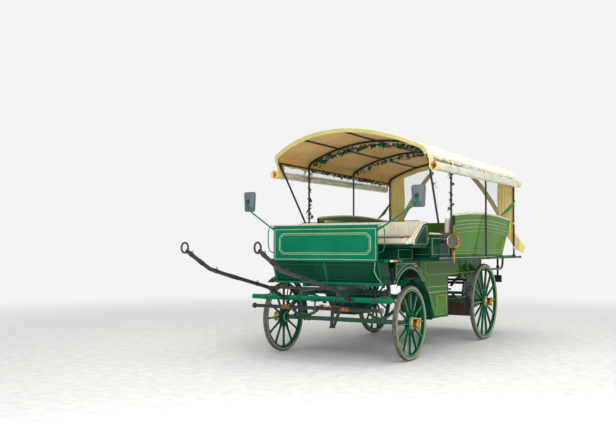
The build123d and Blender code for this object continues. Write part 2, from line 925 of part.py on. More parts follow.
# Rear door with its hinge knuckles
with BuildPart() as rear_door:
    block(
        (trunk_rear, -door_half, floor_top + door_sill_gap),
        (trunk_rear + rear_wall_thick, door_half, rear_wall_top),
    )
    for z in hinge_heights:
        with Locations((hinge_x, hinge_y, z)):
            Cylinder(hinge_knuckle, hinge_length)
        block(
            (trunk_rear - hinge_knuckle / 2, hinge_y, z - hinge_length / 2),
            (trunk_rear, hinge_y + 90, z + hinge_length / 2),
        )
        with Locations((hinge_x, hinge_y, z)):
            Cylinder(hinge_pin + running_gap, hinge_length, mode=Mode.SUBTRACT)
rear_door.part.label = "rear_door"
export_step(rear_door.part, "parts/rear_door.step")

# Rear steps: two stringers under the deck's tail, three treads and the board ahead of them
tread_thick = 22
tread_deep = (trunk_rear - deck_end) / 3
tread_first = 440
tread_rise = 170
step_board_x = station(-2900)
step_board_thick = 25
step_board_half = 600
step_board_low = 290
step_board_high = 590
with BuildPart() as rear_steps:
    for hand in (-1, 1):
        near = hand * aisle_half
        far = hand * (aisle_half + aisle_wall)
        side_plate(
            [
                (trunk_rear, deck_low),
                (deck_end, deck_low),
                (deck_end, tread_first - tread_thick),
                (trunk_rear, step_board_low + 30),
                (step_board_x - step_board_thick, step_board_low),
                (step_board_x - step_board_thick, step_board_high),
                (trunk_rear, 860),
            ],
            min(near, far),
            max(near, far),
        )
    for step in range(3):
        rear = deck_end + step * tread_deep
        top = tread_first + step * tread_rise
        block((rear, -aisle_half, top - tread_thick), (rear + tread_deep, aisle_half, top))
rear_steps.part.label = "rear_steps"
export_step(rear_steps.part, "parts/rear_steps.step")

with BuildPart() as step_board:
    block(
        (step_board_x - step_board_thick, -step_board_half, step_board_low),
        (step_board_x, step_board_half, step_board_high),
    )
step_board.part.label = "step_board"
export_step(step_board.part, "parts/step_board.step")

# Canopy: posts, eaves rails, bows and purlins, and the cloth over them
slope = atan2(eaves_front - eaves_rear, roof_length)
eaves = Plane(
    origin=(roof_front, 0, eaves_front),
    x_dir=(0, -1, 0),
    z_dir=(-cos(slope), 0, -sin(slope)),
)
corner_y = post_y - roof_corner
crown_radius = (corner_y**2 + roof_rise**2 - roof_corner**2) / (2 * (roof_rise - roof_corner))
corner_turn = degrees(atan2(crown_radius - roof_rise, corner_y))


def eaves_place(back, across, up):
    """A place given behind the roof's front, across it and above the eaves line."""
    return eaves.origin + eaves.z_dir * back - eaves.x_dir * across + eaves.y_dir * up


def arch(grow):
    """The roof's arch, moved outwards by a distance, from one eaves line to the other."""
    CenterArc((corner_y, 0), roof_corner + grow, 0, corner_turn)
    CenterArc((0, roof_rise - crown_radius), crown_radius + grow, corner_turn, 180 - 2 * corner_turn)
    CenterArc((-corner_y, 0), roof_corner + grow, 180 - corner_turn, corner_turn)


def arch_band(back, length, low, high):
    """A band that follows the arch between two distances from its line."""
    with BuildSketch(eaves.offset(back)) as band:
        with BuildLine():
            arch(low)
            arch(high)
            for hand in (-1, 1):
                Line((hand * (post_y + low), 0), (hand * (post_y + high), 0))
        make_face()
    extrude(band.sketch, amount=length)


post_top = Plane(origin=eaves_place(0, 0, -eaves_radius - soft_gap), z_dir=eaves.y_dir)
with BuildPart() as canopy_posts:
    for hand in (-1, 1):
        for ahead in posts:
            top = eaves_place(posts_ahead - ahead, hand * post_y, 0)
            tube([(top.X, hand * post_y, deck_top), (top.X, hand * post_y, top.Z)], post_radius)
        foot_y = hand * (side_foot_y + post_radius)
        foot = low_side_top + post_radius + soft_gap
        tube(
            [
                (tall_front + 10, foot_y, foot),
                (station(-766), foot_y, foot),
                tuple(eaves_place(40, hand * post_y, 0)),
            ],
            post_radius,
            80,
        )
    split(bisect_by=post_top, keep=Keep.BOTTOM)
canopy_posts.part.label = "canopy_posts"
export_step(canopy_posts.part, "parts/canopy_posts.step")

# Eaves rails with bows across the roof: a raked hoop in front and upright ones behind,
# tied by three purlins
hoop_lean = Plane(origin=eaves.origin, x_dir=(0, -1, 0), z_dir=eaves.z_dir + eaves.y_dir * hoop_rake)
hoop_reach = (roof_rise + post_radius) * hoop_rake
bow_backs = [posts_ahead - ahead for ahead in posts]
purlin_y = 560
purlin_radius = 11
rail_start = 7
with BuildPart() as canopy_bows:
    arch_band(-hoop_reach - 40, hoop_reach + 80, -post_radius, post_radius)
    split(bisect_by=hoop_lean.offset(-post_radius), keep=Keep.TOP)
    split(bisect_by=hoop_lean.offset(post_radius), keep=Keep.BOTTOM)
    for hand in (-1, 1):
        rail_end = eaves_place(rear_post, hand * post_y, 0)
        tube([eaves_place(rail_start, hand * post_y, 0), rail_end], eaves_radius)
    for back in bow_backs:
        arch_band(back - post_radius, 2 * post_radius, -post_radius, post_radius)
    for across in (-purlin_y, 0, purlin_y):
        up = roof_rise - crown_radius + sqrt(crown_radius**2 - across**2)
        tube([eaves_place(-up * hoop_rake, across, up), eaves_place(rear_post, across, up)], purlin_radius)
canopy_bows.part.label = "canopy_bows"
export_step(canopy_bows.part, "parts/canopy_bows.step")

# The roof cloth with its side valances and the gussets at its front corners
cloth_gap = post_radius + soft_gap
hoop_reach = (roof_rise + cloth_gap + roof_cloth) * hoop_rake + 40
gusset_drop = 185
gusset_length = 172
with BuildPart() as roof:
    arch_band(-hoop_reach, hoop_reach + roof_length, cloth_gap, cloth_gap + roof_cloth)
    split(bisect_by=hoop_lean, keep=Keep.TOP)
    for hand in (-1, 1):
        edge_y = hand * (post_y + cloth_gap)
        flank = Plane(origin=eaves_place(0, edge_y, 0), x_dir=eaves.z_dir, z_dir=(0, hand, 0))
        with BuildSketch(flank) as flap:
            with BuildLine():
                down = flank.y_dir.dot(eaves.y_dir)
                Polyline(
                    (0, 0),
                    (gusset_length - 20, -gusset_drop * down),
                    (gusset_length, -gusset_drop * down),
                    (gusset_length, -valance_drop * down),
                    (roof_length, -valance_drop * down),
                    (roof_length, 0),
                    close=True,
                )
            make_face()
        extrude(flap.sketch, amount=roof_cloth)
roof.part.label = "roof_canvas"
export_step(roof.part, "parts/roof_canvas.step")

with BuildPart() as rolls:
    for hand in (-1, 1):
        across = hand * (post_y + cloth_gap + roof_cloth + soft_gap + roll_radius)
        tube(
            [
                eaves_place(20, across, -roll_drop),
                eaves_place(roof_length - 30, across, roll_rise - roll_drop),
            ],
            roll_radius,
        )
rolls.part.label = "curtain_rolls"
export_step(rolls.part, "parts/curtain_rolls.step")

# Rear curtain: a top band under the arch with a strip hanging at each corner
curtain_back = rear_post + post_radius + soft_gap
curtain_cloth = 6
curtain_band = 85
strip_width = 270
strip_foot = 1300
strip_corner = 1700
with BuildPart() as curtain:
    arch_band(curtain_back, curtain_cloth, -curtain_band, cloth_gap - soft_gap)
    for hand in (-1, 1):
        hang = eaves_place(curtain_back, 0, 0)
        with BuildSketch(Plane.YZ.offset(hang.X - curtain_cloth)):
            with BuildLine():
                outer = post_y + cloth_gap - soft_gap
                Polyline(
                    (hand * outer, hang.Z),
                    (hand * outer, strip_foot),
                    (hand * (outer - strip_width), strip_corner),
                    (hand * (outer - strip_width), hang.Z + 30),
                    close=True,
                )
            make_face()
        extrude(amount=curtain_cloth)
curtain.part.label = "rear_curtain"
export_step(curtain.part, "parts/rear_curtain.step")

# Carriage lamps: an octagonal case on a bracket, with a chimney and a stem
lamp_x = station(-787)
lamp_y = 1115
lamp_z = 1390
lamp_wide = 155
lamp_high = 180
lamp_deep = 90
lamp_corner = 48
stem_length = 190
with BuildPart() as lamps:
    for hand in (-1, 1):
        half_w = lamp_wide / 2
        half_h = lamp_high / 2
        outline = []
        for side_y, side_z in ((1, 1), (-1, 1), (-1, -1), (1, -1)):
            ends = [
                (hand * lamp_y + side_y * half_w, lamp_z + side_z * (half_h - lamp_corner)),
                (hand * lamp_y + side_y * (half_w - lamp_corner), lamp_z + side_z * half_h),
            ]
            outline += ends if side_y * side_z > 0 else ends[::-1]
        with BuildSketch(Plane.YZ.offset(lamp_x - lamp_deep / 2)) as lamp_face:
            with BuildLine():
                Polyline(*outline, close=True)
            make_face()
        extrude(lamp_face.sketch, amount=lamp_deep)
        with Locations((lamp_x, hand * lamp_y, lamp_z + half_h + 8)):
            Cylinder(24, 16)
        with Locations((lamp_x, hand * lamp_y, lamp_z + half_h + 23)):
            Cylinder(48, 14)
        with Locations((lamp_x, hand * lamp_y, lamp_z - half_h - stem_length / 2)):
            Cylinder(13, stem_length)
        near = hand * side_outer
        far = hand * (lamp_y - half_w)
        block((lamp_x - 15, min(near, far), lamp_z - 30), (lamp_x + 15, max(near, far), lamp_z + 10))
lamps.part.label = "carriage_lamps"
export_step(lamps.part, "parts/carriage_lamps.step")

# Mirrors: a grey head on a bent tube arm from the dash
mirror_x = station(380)
mirror_y = 1150
mirror_z = 1885
mirror_wide = 170
mirror_high = 250
mirror_deep = 60
arm_foot_z = 1500
arm_tube = 9
with BuildPart() as mirror_arms:
    for hand in (-1, 1):
        foot_x = dash_face - dash_thick - arm_tube
        tube(
            [
                (foot_x, hand * (dash_half - 20), arm_foot_z - 200),
                (foot_x, hand * (dash_half - 20), arm_foot_z),
                (mirror_x + mirror_deep / 2 + arm_tube, hand * mirror_y, mirror_z - 90),
                (mirror_x + mirror_deep / 2 + arm_tube, hand * mirror_y, mirror_z + 20),
            ],
            arm_tube,
            40,
        )
mirror_arms.part.label = "mirror_arms"
export_step(mirror_arms.part, "parts/mirror_arms.step")

with BuildPart() as mirror_heads:
    for hand in (-1, 1):
        with Locations((mirror_x, hand * mirror_y, mirror_z)):
            Box(mirror_deep, mirror_wide, mirror_high)
mirror_heads.part.label = "mirror_heads"
export_step(mirror_heads.part, "parts/mirror_heads.step")

# Tube loops under the deck at the rear, one inside each wheel
loop_y = 800
loop_radius = 16
loop_low = 985
loop_bend = 110
with BuildPart() as loops:
    for hand in (-1, 1):
        tube(
            [
                (station(-2060), hand * loop_y, deck_low),
                (station(-2060), hand * loop_y, loop_low),
                (station(-3660), hand * loop_y, loop_low),
                (station(-3660), hand * loop_y, deck_low),
            ],
            loop_radius,
            loop_bend,
        )
loops.part.label = "spring_loops"
export_step(loops.part, "parts/spring_loops.step")

# Marker lights along the ledges, and tail lights on hangers under the deck's tail
marker_deep = 18
tail_x = station(-3680)
tail_y = 715
tail_low = 770
tail_high = 880
with BuildPart() as lights:
    for hand in (-1, 1):
        near = hand * ledge_half
        far = hand * (ledge_half + marker_deep)
        block(
            (station(180), min(near, far), deck_low - 6),
            (station(370), max(near, far), deck_low + ledge_thick),
        )
        block(
            (tail_x, hand * tail_y - 15, tail_high),
            (tail_x + 8, hand * tail_y + 15, deck_low),
        )
        block(
            (tail_x - 35, hand * tail_y - 55, tail_low),
            (tail_x + 8, hand * tail_y + 55, tail_high),
        )
lights.part.label = "lights"
export_step(lights.part, "parts/lights.step")

# Brakes: a cross shaft under the floor, with an arm and a shoe at each rear tyre
brake_x = rear_axle_x + rear_wheel_dia / 2 + 8
with BuildPart() as brakes:
    shaft_z = rear_frame_low - 16
    pin_y(brake_x + 60, 0, shaft_z, 16, 2 * (track / 2 - tyre_width / 2))
    for hand in (-1, 1):
        near = hand * (track / 2 - tyre_width / 2)
        far = hand * (track / 2 + tyre_width / 2)
        tyre_z = rear_wheel_dia / 2
        block((brake_x, min(near, far), tyre_z - 60), (brake_x + 40, max(near, far), tyre_z + 60))
        near = hand * (track / 2 - tyre_width / 2)
        far = hand * (track / 2 - tyre_width / 2 - 12)
        block((brake_x + 20, min(near, far), tyre_z - 30), (brake_x + 75, max(near, far), shaft_z + 16))
brakes.part.label = "brakes"
export_step(brakes.part, "parts/brakes.step")
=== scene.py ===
import random
from math import atan2, cos, pi, radians, sin, sqrt

import bmesh
import bpy
from mathutils import Matrix, Vector


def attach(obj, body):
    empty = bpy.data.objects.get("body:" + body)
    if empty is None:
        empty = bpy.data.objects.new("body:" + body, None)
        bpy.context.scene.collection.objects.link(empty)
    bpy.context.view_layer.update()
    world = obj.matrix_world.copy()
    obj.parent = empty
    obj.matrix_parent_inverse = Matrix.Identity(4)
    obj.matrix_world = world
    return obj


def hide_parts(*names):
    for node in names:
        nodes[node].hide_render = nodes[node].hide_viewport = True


# A horse-drawn wagonette, in metres: +X forward, +Y to its left, +Z up, ground at Z 0.
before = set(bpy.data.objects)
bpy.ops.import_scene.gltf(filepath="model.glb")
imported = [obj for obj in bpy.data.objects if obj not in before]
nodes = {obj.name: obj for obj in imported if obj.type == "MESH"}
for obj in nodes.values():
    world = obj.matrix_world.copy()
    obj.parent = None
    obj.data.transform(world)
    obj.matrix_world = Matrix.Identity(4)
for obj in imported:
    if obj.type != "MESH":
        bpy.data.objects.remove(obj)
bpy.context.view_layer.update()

# Driving places
front_axle = 0.635
rear_axle = -1.925
deck_top = 1.19
front_radius = 0.435
rear_radius = 0.54
spring_y = 0.52
bar_x, bar_z = 1.315, 0.618
tube_x, tube_z = 1.225, 0.722
post_bore = 0.0134
lamp_stem_x = -0.152
mirror_z = 1.885
dash_face = 1.125


def ahead(distance):
    """The X of a place so far ahead of the front axle."""
    return front_axle + distance


# Materials


def srgb(red, green, blue):
    """A colour given as it looks on a screen, 0 to 255."""
    channels = [c / 255 for c in (red, green, blue)]
    return tuple(c / 12.92 if c < 0.04045 else ((c + 0.055) / 1.055) ** 2.4 for c in channels) + (1,)


class Finish:
    """A node material with a Principled shader, built up step by step."""

    def __init__(self, name, colour, roughness, metallic=0.0):
        self.material = bpy.data.materials.new(name)
        self.material.use_nodes = True
        self.tree = self.material.node_tree
        self.shader = self.tree.nodes["Principled BSDF"]
        self.shader.inputs["Base Color"].default_value = colour
        self.shader.inputs["Roughness"].default_value = roughness
        self.shader.inputs["Metallic"].default_value = metallic
        self.place = self.tree.nodes.new("ShaderNodeTexCoord").outputs["Object"]

    def set(self, **sockets):
        for name, value in sockets.items():
            self.shader.inputs[name.replace("_", " ")].default_value = value
        return self

    def node(self, kind, **inputs):
        made = self.tree.nodes.new(kind)
        for name, value in inputs.items():
            made.inputs[name.replace("_", " ")].default_value = value
        return made

    def link(self, start, end):
        self.tree.links.new(start, end)

    def noise(self, scale, detail=4.0, stretch=(1, 1, 1)):
        """A noise value on the object's own coordinates."""
        mapping = self.node("ShaderNodeMapping", Scale=stretch)
        self.link(self.place, mapping.inputs["Vector"])
        noise = self.node("ShaderNodeTexNoise", Scale=scale, Detail=detail)
        self.link(mapping.outputs["Vector"], noise.inputs["Vector"])
        return noise.outputs["Fac"]

    def ramp(self, value, low, high, start=0.35, end=0.65):
        """A value spread between two others."""
        spread = self.node("ShaderNodeMapRange", From_Min=start, From_Max=end, To_Min=low, To_Max=high)
        self.link(value, spread.inputs["Value"])
        return spread.outputs["Result"]

    def mottle(self, value, darker, lighter, start=0.3, end=0.7):
        """The colour varies between two shades with a value."""
        ramp = self.tree.nodes.new("ShaderNodeValToRGB")
        ramp.color_ramp.elements[0].position = start
        ramp.color_ramp.elements[0].color = darker
        ramp.color_ramp.elements[1].position = end
        ramp.color_ramp.elements[1].color = lighter
        self.link(value, ramp.inputs["Fac"])
        self.link(ramp.outputs["Color"], self.shader.inputs["Base Color"])
        return ramp.outputs["Color"]

    def rough(self, value, low, high):
        """The roughness varies between two values."""
        self.link(self.ramp(value, low, high), self.shader.inputs["Roughness"])

    def bump(self, value, strength, distance=0.001):
        bump = self.node("ShaderNodeBump", Strength=strength, Distance=distance)
        self.link(value, bump.inputs["Height"])
        if self.shader.inputs["Normal"].is_linked:
            before = self.shader.inputs["Normal"].links[0].from_socket
            self.link(before, bump.inputs["Normal"])
        self.link(bump.outputs["Normal"], self.shader.inputs["Normal"])

    def edge_wear(self, base, worn, width=0.004, amount=0.5):
        """Paint rubbed lighter along edges, broken up by noise."""
        bevel = self.node("ShaderNodeBevel", Radius=width)
        bevel.samples = 4
        geometry = self.tree.nodes.new("ShaderNodeNewGeometry")
        dot = self.tree.nodes.new("ShaderNodeVectorMath")
        dot.operation = "DOT_PRODUCT"
        self.link(bevel.outputs["Normal"], dot.inputs[0])
        self.link(geometry.outputs["Normal"], dot.inputs[1])
        edge = self.ramp(dot.outputs["Value"], amount, 0, 0.80, 0.99)
        patchy = self.ramp(self.noise(38, 5), 0, 1, 0.45, 0.62)
        both = self.tree.nodes.new("ShaderNodeMath")
        both.operation = "MULTIPLY"
        self.link(edge, both.inputs[0])
        self.link(patchy, both.inputs[1])
        mix = self.tree.nodes.new("ShaderNodeMix")
        mix.data_type = "RGBA"
        self.link(both.outputs["Value"], mix.inputs["Factor"])
        self.link(base, mix.inputs["A"])
        mix.inputs["B"].default_value = worn
        self.link(mix.outputs["Result"], self.shader.inputs["Base Color"])


def coach_paint(name, colour, roughness=0.16, worn=(0.35, 0.42, 0.33, 1)):
    """Brushed coach paint under thin varnish, with rubbed edges."""
    paint = Finish(name, colour, roughness)
    darker = tuple(c * 0.82 for c in colour[:3]) + (1,)
    lighter = tuple(min(1, c * 1.12 + 0.004) for c in colour[:3]) + (1,)
    base = paint.mottle(paint.noise(2.2, 3), darker, lighter)
    paint.edge_wear(base, worn, 0.002, 0.2)
    paint.rough(paint.noise(9, 5), roughness * 0.75, roughness * 1.5)
    paint.bump(paint.noise(60, 3, (1, 1, 6)), 0.05, 0.0006)
    paint.bump(paint.noise(6, 2), 0.08, 0.002)
    paint.set(Coat_Weight=0.05, Coat_Roughness=0.05, Specular_IOR_Level=0.06)
    return paint.material


def panel_with_painted_reflection(name, light, dark, limit):
    """The lower side panel: dark green paint ahead of the panel's break, and behind it a lighter green that
    is a painted reflection of the lawn.
    """
    paint = Finish(name, light, 0.14)
    split = paint.tree.nodes.new("ShaderNodeSeparateXYZ")
    paint.link(paint.place, split.inputs[0])
    step = paint.ramp(split.outputs["X"], 0, 1, limit - 0.001, limit + 0.001)
    mix = paint.tree.nodes.new("ShaderNodeMix")
    mix.data_type = "RGBA"
    paint.link(step, mix.inputs["Factor"])
    mix.inputs["A"].default_value = light
    mix.inputs["B"].default_value = dark
    shade = paint.tree.nodes.new("ShaderNodeHueSaturation")
    paint.link(paint.ramp(paint.noise(2, 3), 0.88, 1.1, 0.3, 0.7), shade.inputs["Value"])
    paint.link(mix.outputs["Result"], shade.inputs["Color"])
    paint.link(shade.outputs["Color"], paint.shader.inputs["Base Color"])
    paint.rough(paint.noise(8, 5), 0.09, 0.2)
    paint.bump(paint.noise(5, 2), 0.07, 0.002)
    paint.set(Coat_Weight=0.05, Coat_Roughness=0.04, Specular_IOR_Level=0.06)
    return paint.material


def iron(name, colour, roughness=0.38):
    """Enamelled ironwork with a little rust showing at its edges."""
    metal = Finish(name, colour, roughness)
    base = metal.mottle(metal.noise(14, 5), tuple(c * 0.75 for c in colour[:3]) + (1,), colour)
    metal.edge_wear(base, srgb(120, 82, 58), 0.003, 0.45)
    metal.rough(metal.noise(25, 4), roughness * 0.8, roughness * 1.35)
    metal.bump(metal.noise(120, 4), 0.08, 0.0005)
    metal.set(Coat_Weight=0.25, Coat_Roughness=0.15)
    return metal.material


def rusty(name):
    """Bare iron that has rusted and been polished by use."""
    metal = Finish(name, srgb(128, 76, 48), 0.6, 0.35)
    metal.mottle(metal.noise(45, 6), srgb(84, 46, 30), srgb(164, 108, 70), 0.35, 0.65)
    metal.rough(metal.noise(30, 5), 0.45, 0.8)
    metal.bump(metal.noise(160, 5), 0.25, 0.0008)
    return metal.material


def brass(name, colour=srgb(214, 168, 84)):
    """Polished brass, dulled in patches."""
    metal = Finish(name, colour, 0.24, 1.0)
    metal.mottle(metal.noise(18, 5), srgb(168, 124, 58), colour, 0.3, 0.6)
    metal.rough(metal.noise(26, 5), 0.14, 0.38)
    metal.bump(metal.noise(90, 3), 0.04, 0.0004)
    return metal.material


def steel(name, colour=srgb(150, 152, 150), roughness=0.32):
    metal = Finish(name, colour, roughness, 1.0)
    metal.mottle(metal.noise(30, 5), tuple(c * 0.7 for c in colour[:3]) + (1,), colour)
    metal.rough(metal.noise(40, 5), roughness * 0.7, roughness * 1.5)
    return metal.material


def rubber(name):
    """Solid rubber tyre, greyed by road dust."""
    tread = Finish(name, srgb(58, 58, 58), 0.75)
    tread.mottle(tread.noise(22, 6), srgb(56, 56, 56), srgb(112, 110, 106), 0.3, 0.75)
    tread.rough(tread.noise(30, 4), 0.6, 0.9)
    tread.bump(tread.noise(240, 4), 0.3, 0.0006)
    return tread.material


def weave(finish, count=900, strength=0.25):
    """A plain weave, as two crossed waves on the piece's UV map, in threads for each metre."""
    uv = finish.node("ShaderNodeUVMap")
    heights = []
    for direction in ("X", "Y"):
        wave = finish.node("ShaderNodeTexWave", Scale=count / 20, Distortion=0.4, Detail=1.0)
        wave.bands_direction = direction
        finish.link(uv.outputs["UV"], wave.inputs["Vector"])
        heights.append(wave.outputs["Fac"])
    both = finish.tree.nodes.new("ShaderNodeMath")
    both.operation = "MAXIMUM"
    finish.link(heights[0], both.inputs[0])
    finish.link(heights[1], both.inputs[1])
    finish.bump(both.outputs["Value"], strength, 0.0004)


def canvas(name, colour, darker):
    """Proofed cotton canvas, weathered in broad patches."""
    cloth = Finish(name, colour, 0.85)
    cloth.mottle(cloth.noise(3.5, 6), darker, colour, 0.25, 0.6)
    weave(cloth)
    cloth.bump(cloth.noise(11, 4), 0.25, 0.004)
    cloth.set(Sheen_Weight=0.15, Sheen_Roughness=0.5)
    return cloth.material


def vinyl(name, colour, darker, roughness=0.42):
    """Upholstery vinyl with a fine pebble grain."""
    hide = Finish(name, colour, roughness)
    hide.mottle(hide.noise(7, 5), darker, colour, 0.2, 0.6)
    cells = hide.node("ShaderNodeTexVoronoi", Scale=420)
    hide.link(hide.place, cells.inputs["Vector"])
    hide.bump(cells.outputs["Distance"], 0.18, 0.0004)
    hide.bump(hide.noise(14, 4), 0.2, 0.003)
    hide.rough(hide.noise(20, 4), roughness * 0.8, roughness * 1.25)
    return hide.material


def clear_film(name):
    """Clear window film, a little milky."""
    film = Finish(name, srgb(222, 232, 230), 0.08)
    film.set(Transmission_Weight=0.82, IOR=1.12, Alpha=0.38)
    film.rough(film.noise(12, 4), 0.04, 0.16)
    film.bump(film.noise(7, 3), 0.15, 0.004)
    return film.material


def wound_film(name):
    """Many layers of clear film wound together: pale, glossy and streaked along the roll."""
    film = Finish(name, srgb(222, 226, 206), 0.16)
    film.mottle(film.noise(4, 4, (1, 9, 9)), srgb(196, 204, 172), srgb(240, 240, 224), 0.30, 0.70)
    film.rough(film.noise(9, 4), 0.08, 0.26)
    film.bump(film.noise(6, 3, (1, 5, 5)), 0.15, 0.004)
    film.set(Coat_Weight=0.8, Coat_Roughness=0.05)
    return film.material


def glass(name, colour=(0.9, 0.93, 0.92, 1)):
    pane = Finish(name, colour, 0.03)
    pane.set(Transmission_Weight=0.9, IOR=1.45)
    pane.bump(pane.noise(5, 1), 0.02, 0.001)
    return pane.material


def plain(name, colour, roughness, coat=0.0, grain=60):
    """A moulded or painted surface with slight variation."""
    skin = Finish(name, colour, roughness)
    skin.mottle(skin.noise(8, 4), tuple(c * 0.85 for c in colour[:3]) + (1,), colour)
    skin.rough(skin.noise(20, 4), roughness * 0.8, min(1, roughness * 1.3))
    skin.bump(skin.noise(grain, 3), 0.06, 0.0006)
    skin.set(Coat_Weight=coat, Coat_Roughness=0.08)
    return skin.material


def timber(name, dark, light, roughness=0.6, stretch=(1, 14, 14)):
    """Wood with its grain along X."""
    wood = Finish(name, light, roughness)
    grain = wood.noise(5, 8, stretch)
    wood.mottle(grain, dark, light, 0.35, 0.62)
    wood.bump(grain, 0.3, 0.0012)
    wood.rough(wood.noise(12, 4), roughness * 0.8, roughness * 1.25)
    return wood.material


# The body's green paint drawn lighter, partly its own colour and partly painted direct light: dash, trims,
# grab loops, mirror arms, splinter bar.
green_with_painted_light = coach_paint("green_paint_with_painted_light", srgb(0, 112, 80))
deep_green = coach_paint("deep_green_paint", srgb(0, 64, 45))
gear_green = coach_paint("running_gear_green", srgb(0, 80, 56), 0.2)
# Leaf green: the dark green paint with a painted reflection of the sunlit lawn in it, on the tall sides,
# locker doors, rear wall and rear door.
lawn_reflection_green = coach_paint("panel_green_with_painted_lawn_reflection", srgb(72, 128, 26), 0.12)
# Lower body sides: the dark green paint ahead of the break, and behind it the same painted lawn reflection.
side_green = panel_with_painted_reflection("side_panel_green", srgb(54, 108, 22), srgb(0, 64, 45), ahead(-0.569))
floor_paint = plain("floor_paint", srgb(34, 52, 44), 0.6)
black_iron = iron("black_iron", srgb(26, 27, 29))
green_iron = iron("green_iron", srgb(0, 74, 52), 0.3)
rusty_iron = rusty("rusty_iron")
brass_metal = brass("polished_brass")
dark_brass = brass("aged_brass", srgb(150, 108, 70))
bright_steel = steel("bright_steel")
line_cream = plain("line_cream", srgb(190, 206, 158), 0.35, 0.3)
tyre_rubber = rubber("tyre_rubber")
roof_outside = canvas("roof_canvas_outside", srgb(244, 241, 222), srgb(230, 224, 192))
# The underside's golden colour is painted daylight shining through the canvas.
roof_inside_painted_daylight = canvas("roof_canvas_inside_painted_daylight", srgb(240, 198, 116), srgb(220, 172, 88))
curtain_canvas = canvas("curtain_canvas", srgb(246, 226, 150), srgb(230, 204, 122))
cream_vinyl = vinyl("cream_vinyl", srgb(226, 220, 200), srgb(206, 198, 172))
piping_black = plain("piping_black", srgb(30, 26, 24), 0.5)
window_film = clear_film("window_film")
lamp_glass = glass("lamp_glass")
reflector_silver = steel("reflector_silver", srgb(225, 226, 222), 0.1)
mirror_case = plain("mirror_case", srgb(92, 102, 110), 0.42, 0.1, 400)
mirror_face = steel("mirror_face", srgb(235, 238, 240), 0.03)
step_brown = timber("step_brown", srgb(52, 36, 28), srgb(98, 74, 58), 0.7)
amber_lens = plain("amber_lens", srgb(236, 112, 20), 0.2, 0.6)
white_lens = plain("white_lens", srgb(232, 232, 226), 0.2, 0.6)
red_lens = plain("red_lens", srgb(170, 14, 16), 0.18, 0.7)
ivy_green = plain("ivy_green", srgb(52, 88, 40), 0.5)
ivy_stem = plain("ivy_stem", srgb(62, 60, 34), 0.7)
petal_white = plain("petal_white", srgb(240, 236, 214), 0.6)
hem_canvas = canvas("hem_canvas", srgb(222, 214, 138), srgb(198, 190, 112))
border_canvas = canvas("border_canvas", srgb(222, 212, 178), srgb(198, 186, 146))
rolled_film = wound_film("rolled_film")
strap_black = plain("strap_black", srgb(24, 22, 22), 0.55)
strap_green = plain("strap_green", srgb(12, 128, 62), 0.6)
tie_cream = plain("tie_cream", srgb(236, 226, 176), 0.7)
worn_channel = plain("worn_channel", srgb(150, 146, 110), 0.6)
pale_trim = plain("pale_trim", srgb(198, 202, 186), 0.45, 0.2)
green_line = plain("green_line", srgb(34, 110, 78), 0.35, 0.3)


def dress(node, *materials):
    """Gives a CAD node its finish."""
    mesh = nodes[node].data
    mesh.materials.clear()
    for material in materials:
        mesh.materials.append(material)


# Shapes


def settle(name, form, material, body="carriage", smooth=True, turn_out=True):
    """Makes an object of a bmesh, in place, riding on a body."""
    bmesh.ops.remove_doubles(form, verts=form.verts, dist=2e-6)
    if turn_out:
        bmesh.ops.recalc_face_normals(form, faces=form.faces)
    mesh = bpy.data.meshes.new(name)
    form.to_mesh(mesh)
    form.free()
    piece = bpy.data.objects.new(name, mesh)
    bpy.context.scene.collection.objects.link(piece)
    for one in material if isinstance(material, (list, tuple)) else [material]:
        mesh.materials.append(one)
    if smooth:
        for face in mesh.polygons:
            face.use_smooth = True
        mesh.set_sharp_from_angle(angle=radians(38))
    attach(piece, body)
    return piece


def board(form, one_corner, far_corner, ease=0.002, segments=2):
    """A squared board with eased edges, between two opposite corners."""
    low = Vector(map(min, one_corner, far_corner))
    high = Vector(map(max, one_corner, far_corner))
    made = bmesh.ops.create_cube(form, size=1)
    bmesh.ops.scale(form, vec=high - low, verts=made["verts"])
    bmesh.ops.translate(form, vec=(high + low) / 2, verts=made["verts"])
    edges = list({edge for vert in made["verts"] for edge in vert.link_edges})
    bmesh.ops.bevel(
        form, geom=edges, offset=ease, affect="EDGES", segments=segments, profile=0.5, material=-1
    )


def turned(form, profile, centre, along, steps=40):
    """A piece turned on a lathe, from (distance, radius) pairs about an axis."""
    centre = Vector(centre)
    along = Vector(along).normalized()
    out = along.orthogonal().normalized()
    verts = [form.verts.new(centre + along * place + out * radius) for place, radius in profile]
    edges = [form.edges.new(pair) for pair in zip(verts, verts[1:])]
    before = set(form.verts)
    bmesh.ops.spin(
        form, geom=verts + edges, cent=centre, axis=along, angle=2 * pi, steps=steps, use_merge=True
    )
    return verts + [vert for vert in form.verts if vert not in before]


def collar(form, centre, along, half, inner, outer, steps):
    """A band round a bar, from its half length and its two radii."""
    profile = [(-half, inner), (-half, outer), (half, outer), (half, inner), (-half, inner)]
    turned(form, profile, centre, along, steps)


def eased_path(points, bend, steps=5):
    """Points along straight runs with rounded corners between them."""
    points = [Vector(point) for point in points]
    path = [points[0]]
    for before, corner, after in zip(points, points[1:], points[2:]):
        near = min(bend, (before - corner).length / 2, (after - corner).length / 2)
        start = corner + (before - corner).normalized() * near
        end = corner + (after - corner).normalized() * near
        for step in range(steps + 1):
            t = step / steps
            path.append(start * (1 - t) ** 2 + corner * 2 * t * (1 - t) + end * t ** 2)
    path.append(points[-1])
    return path


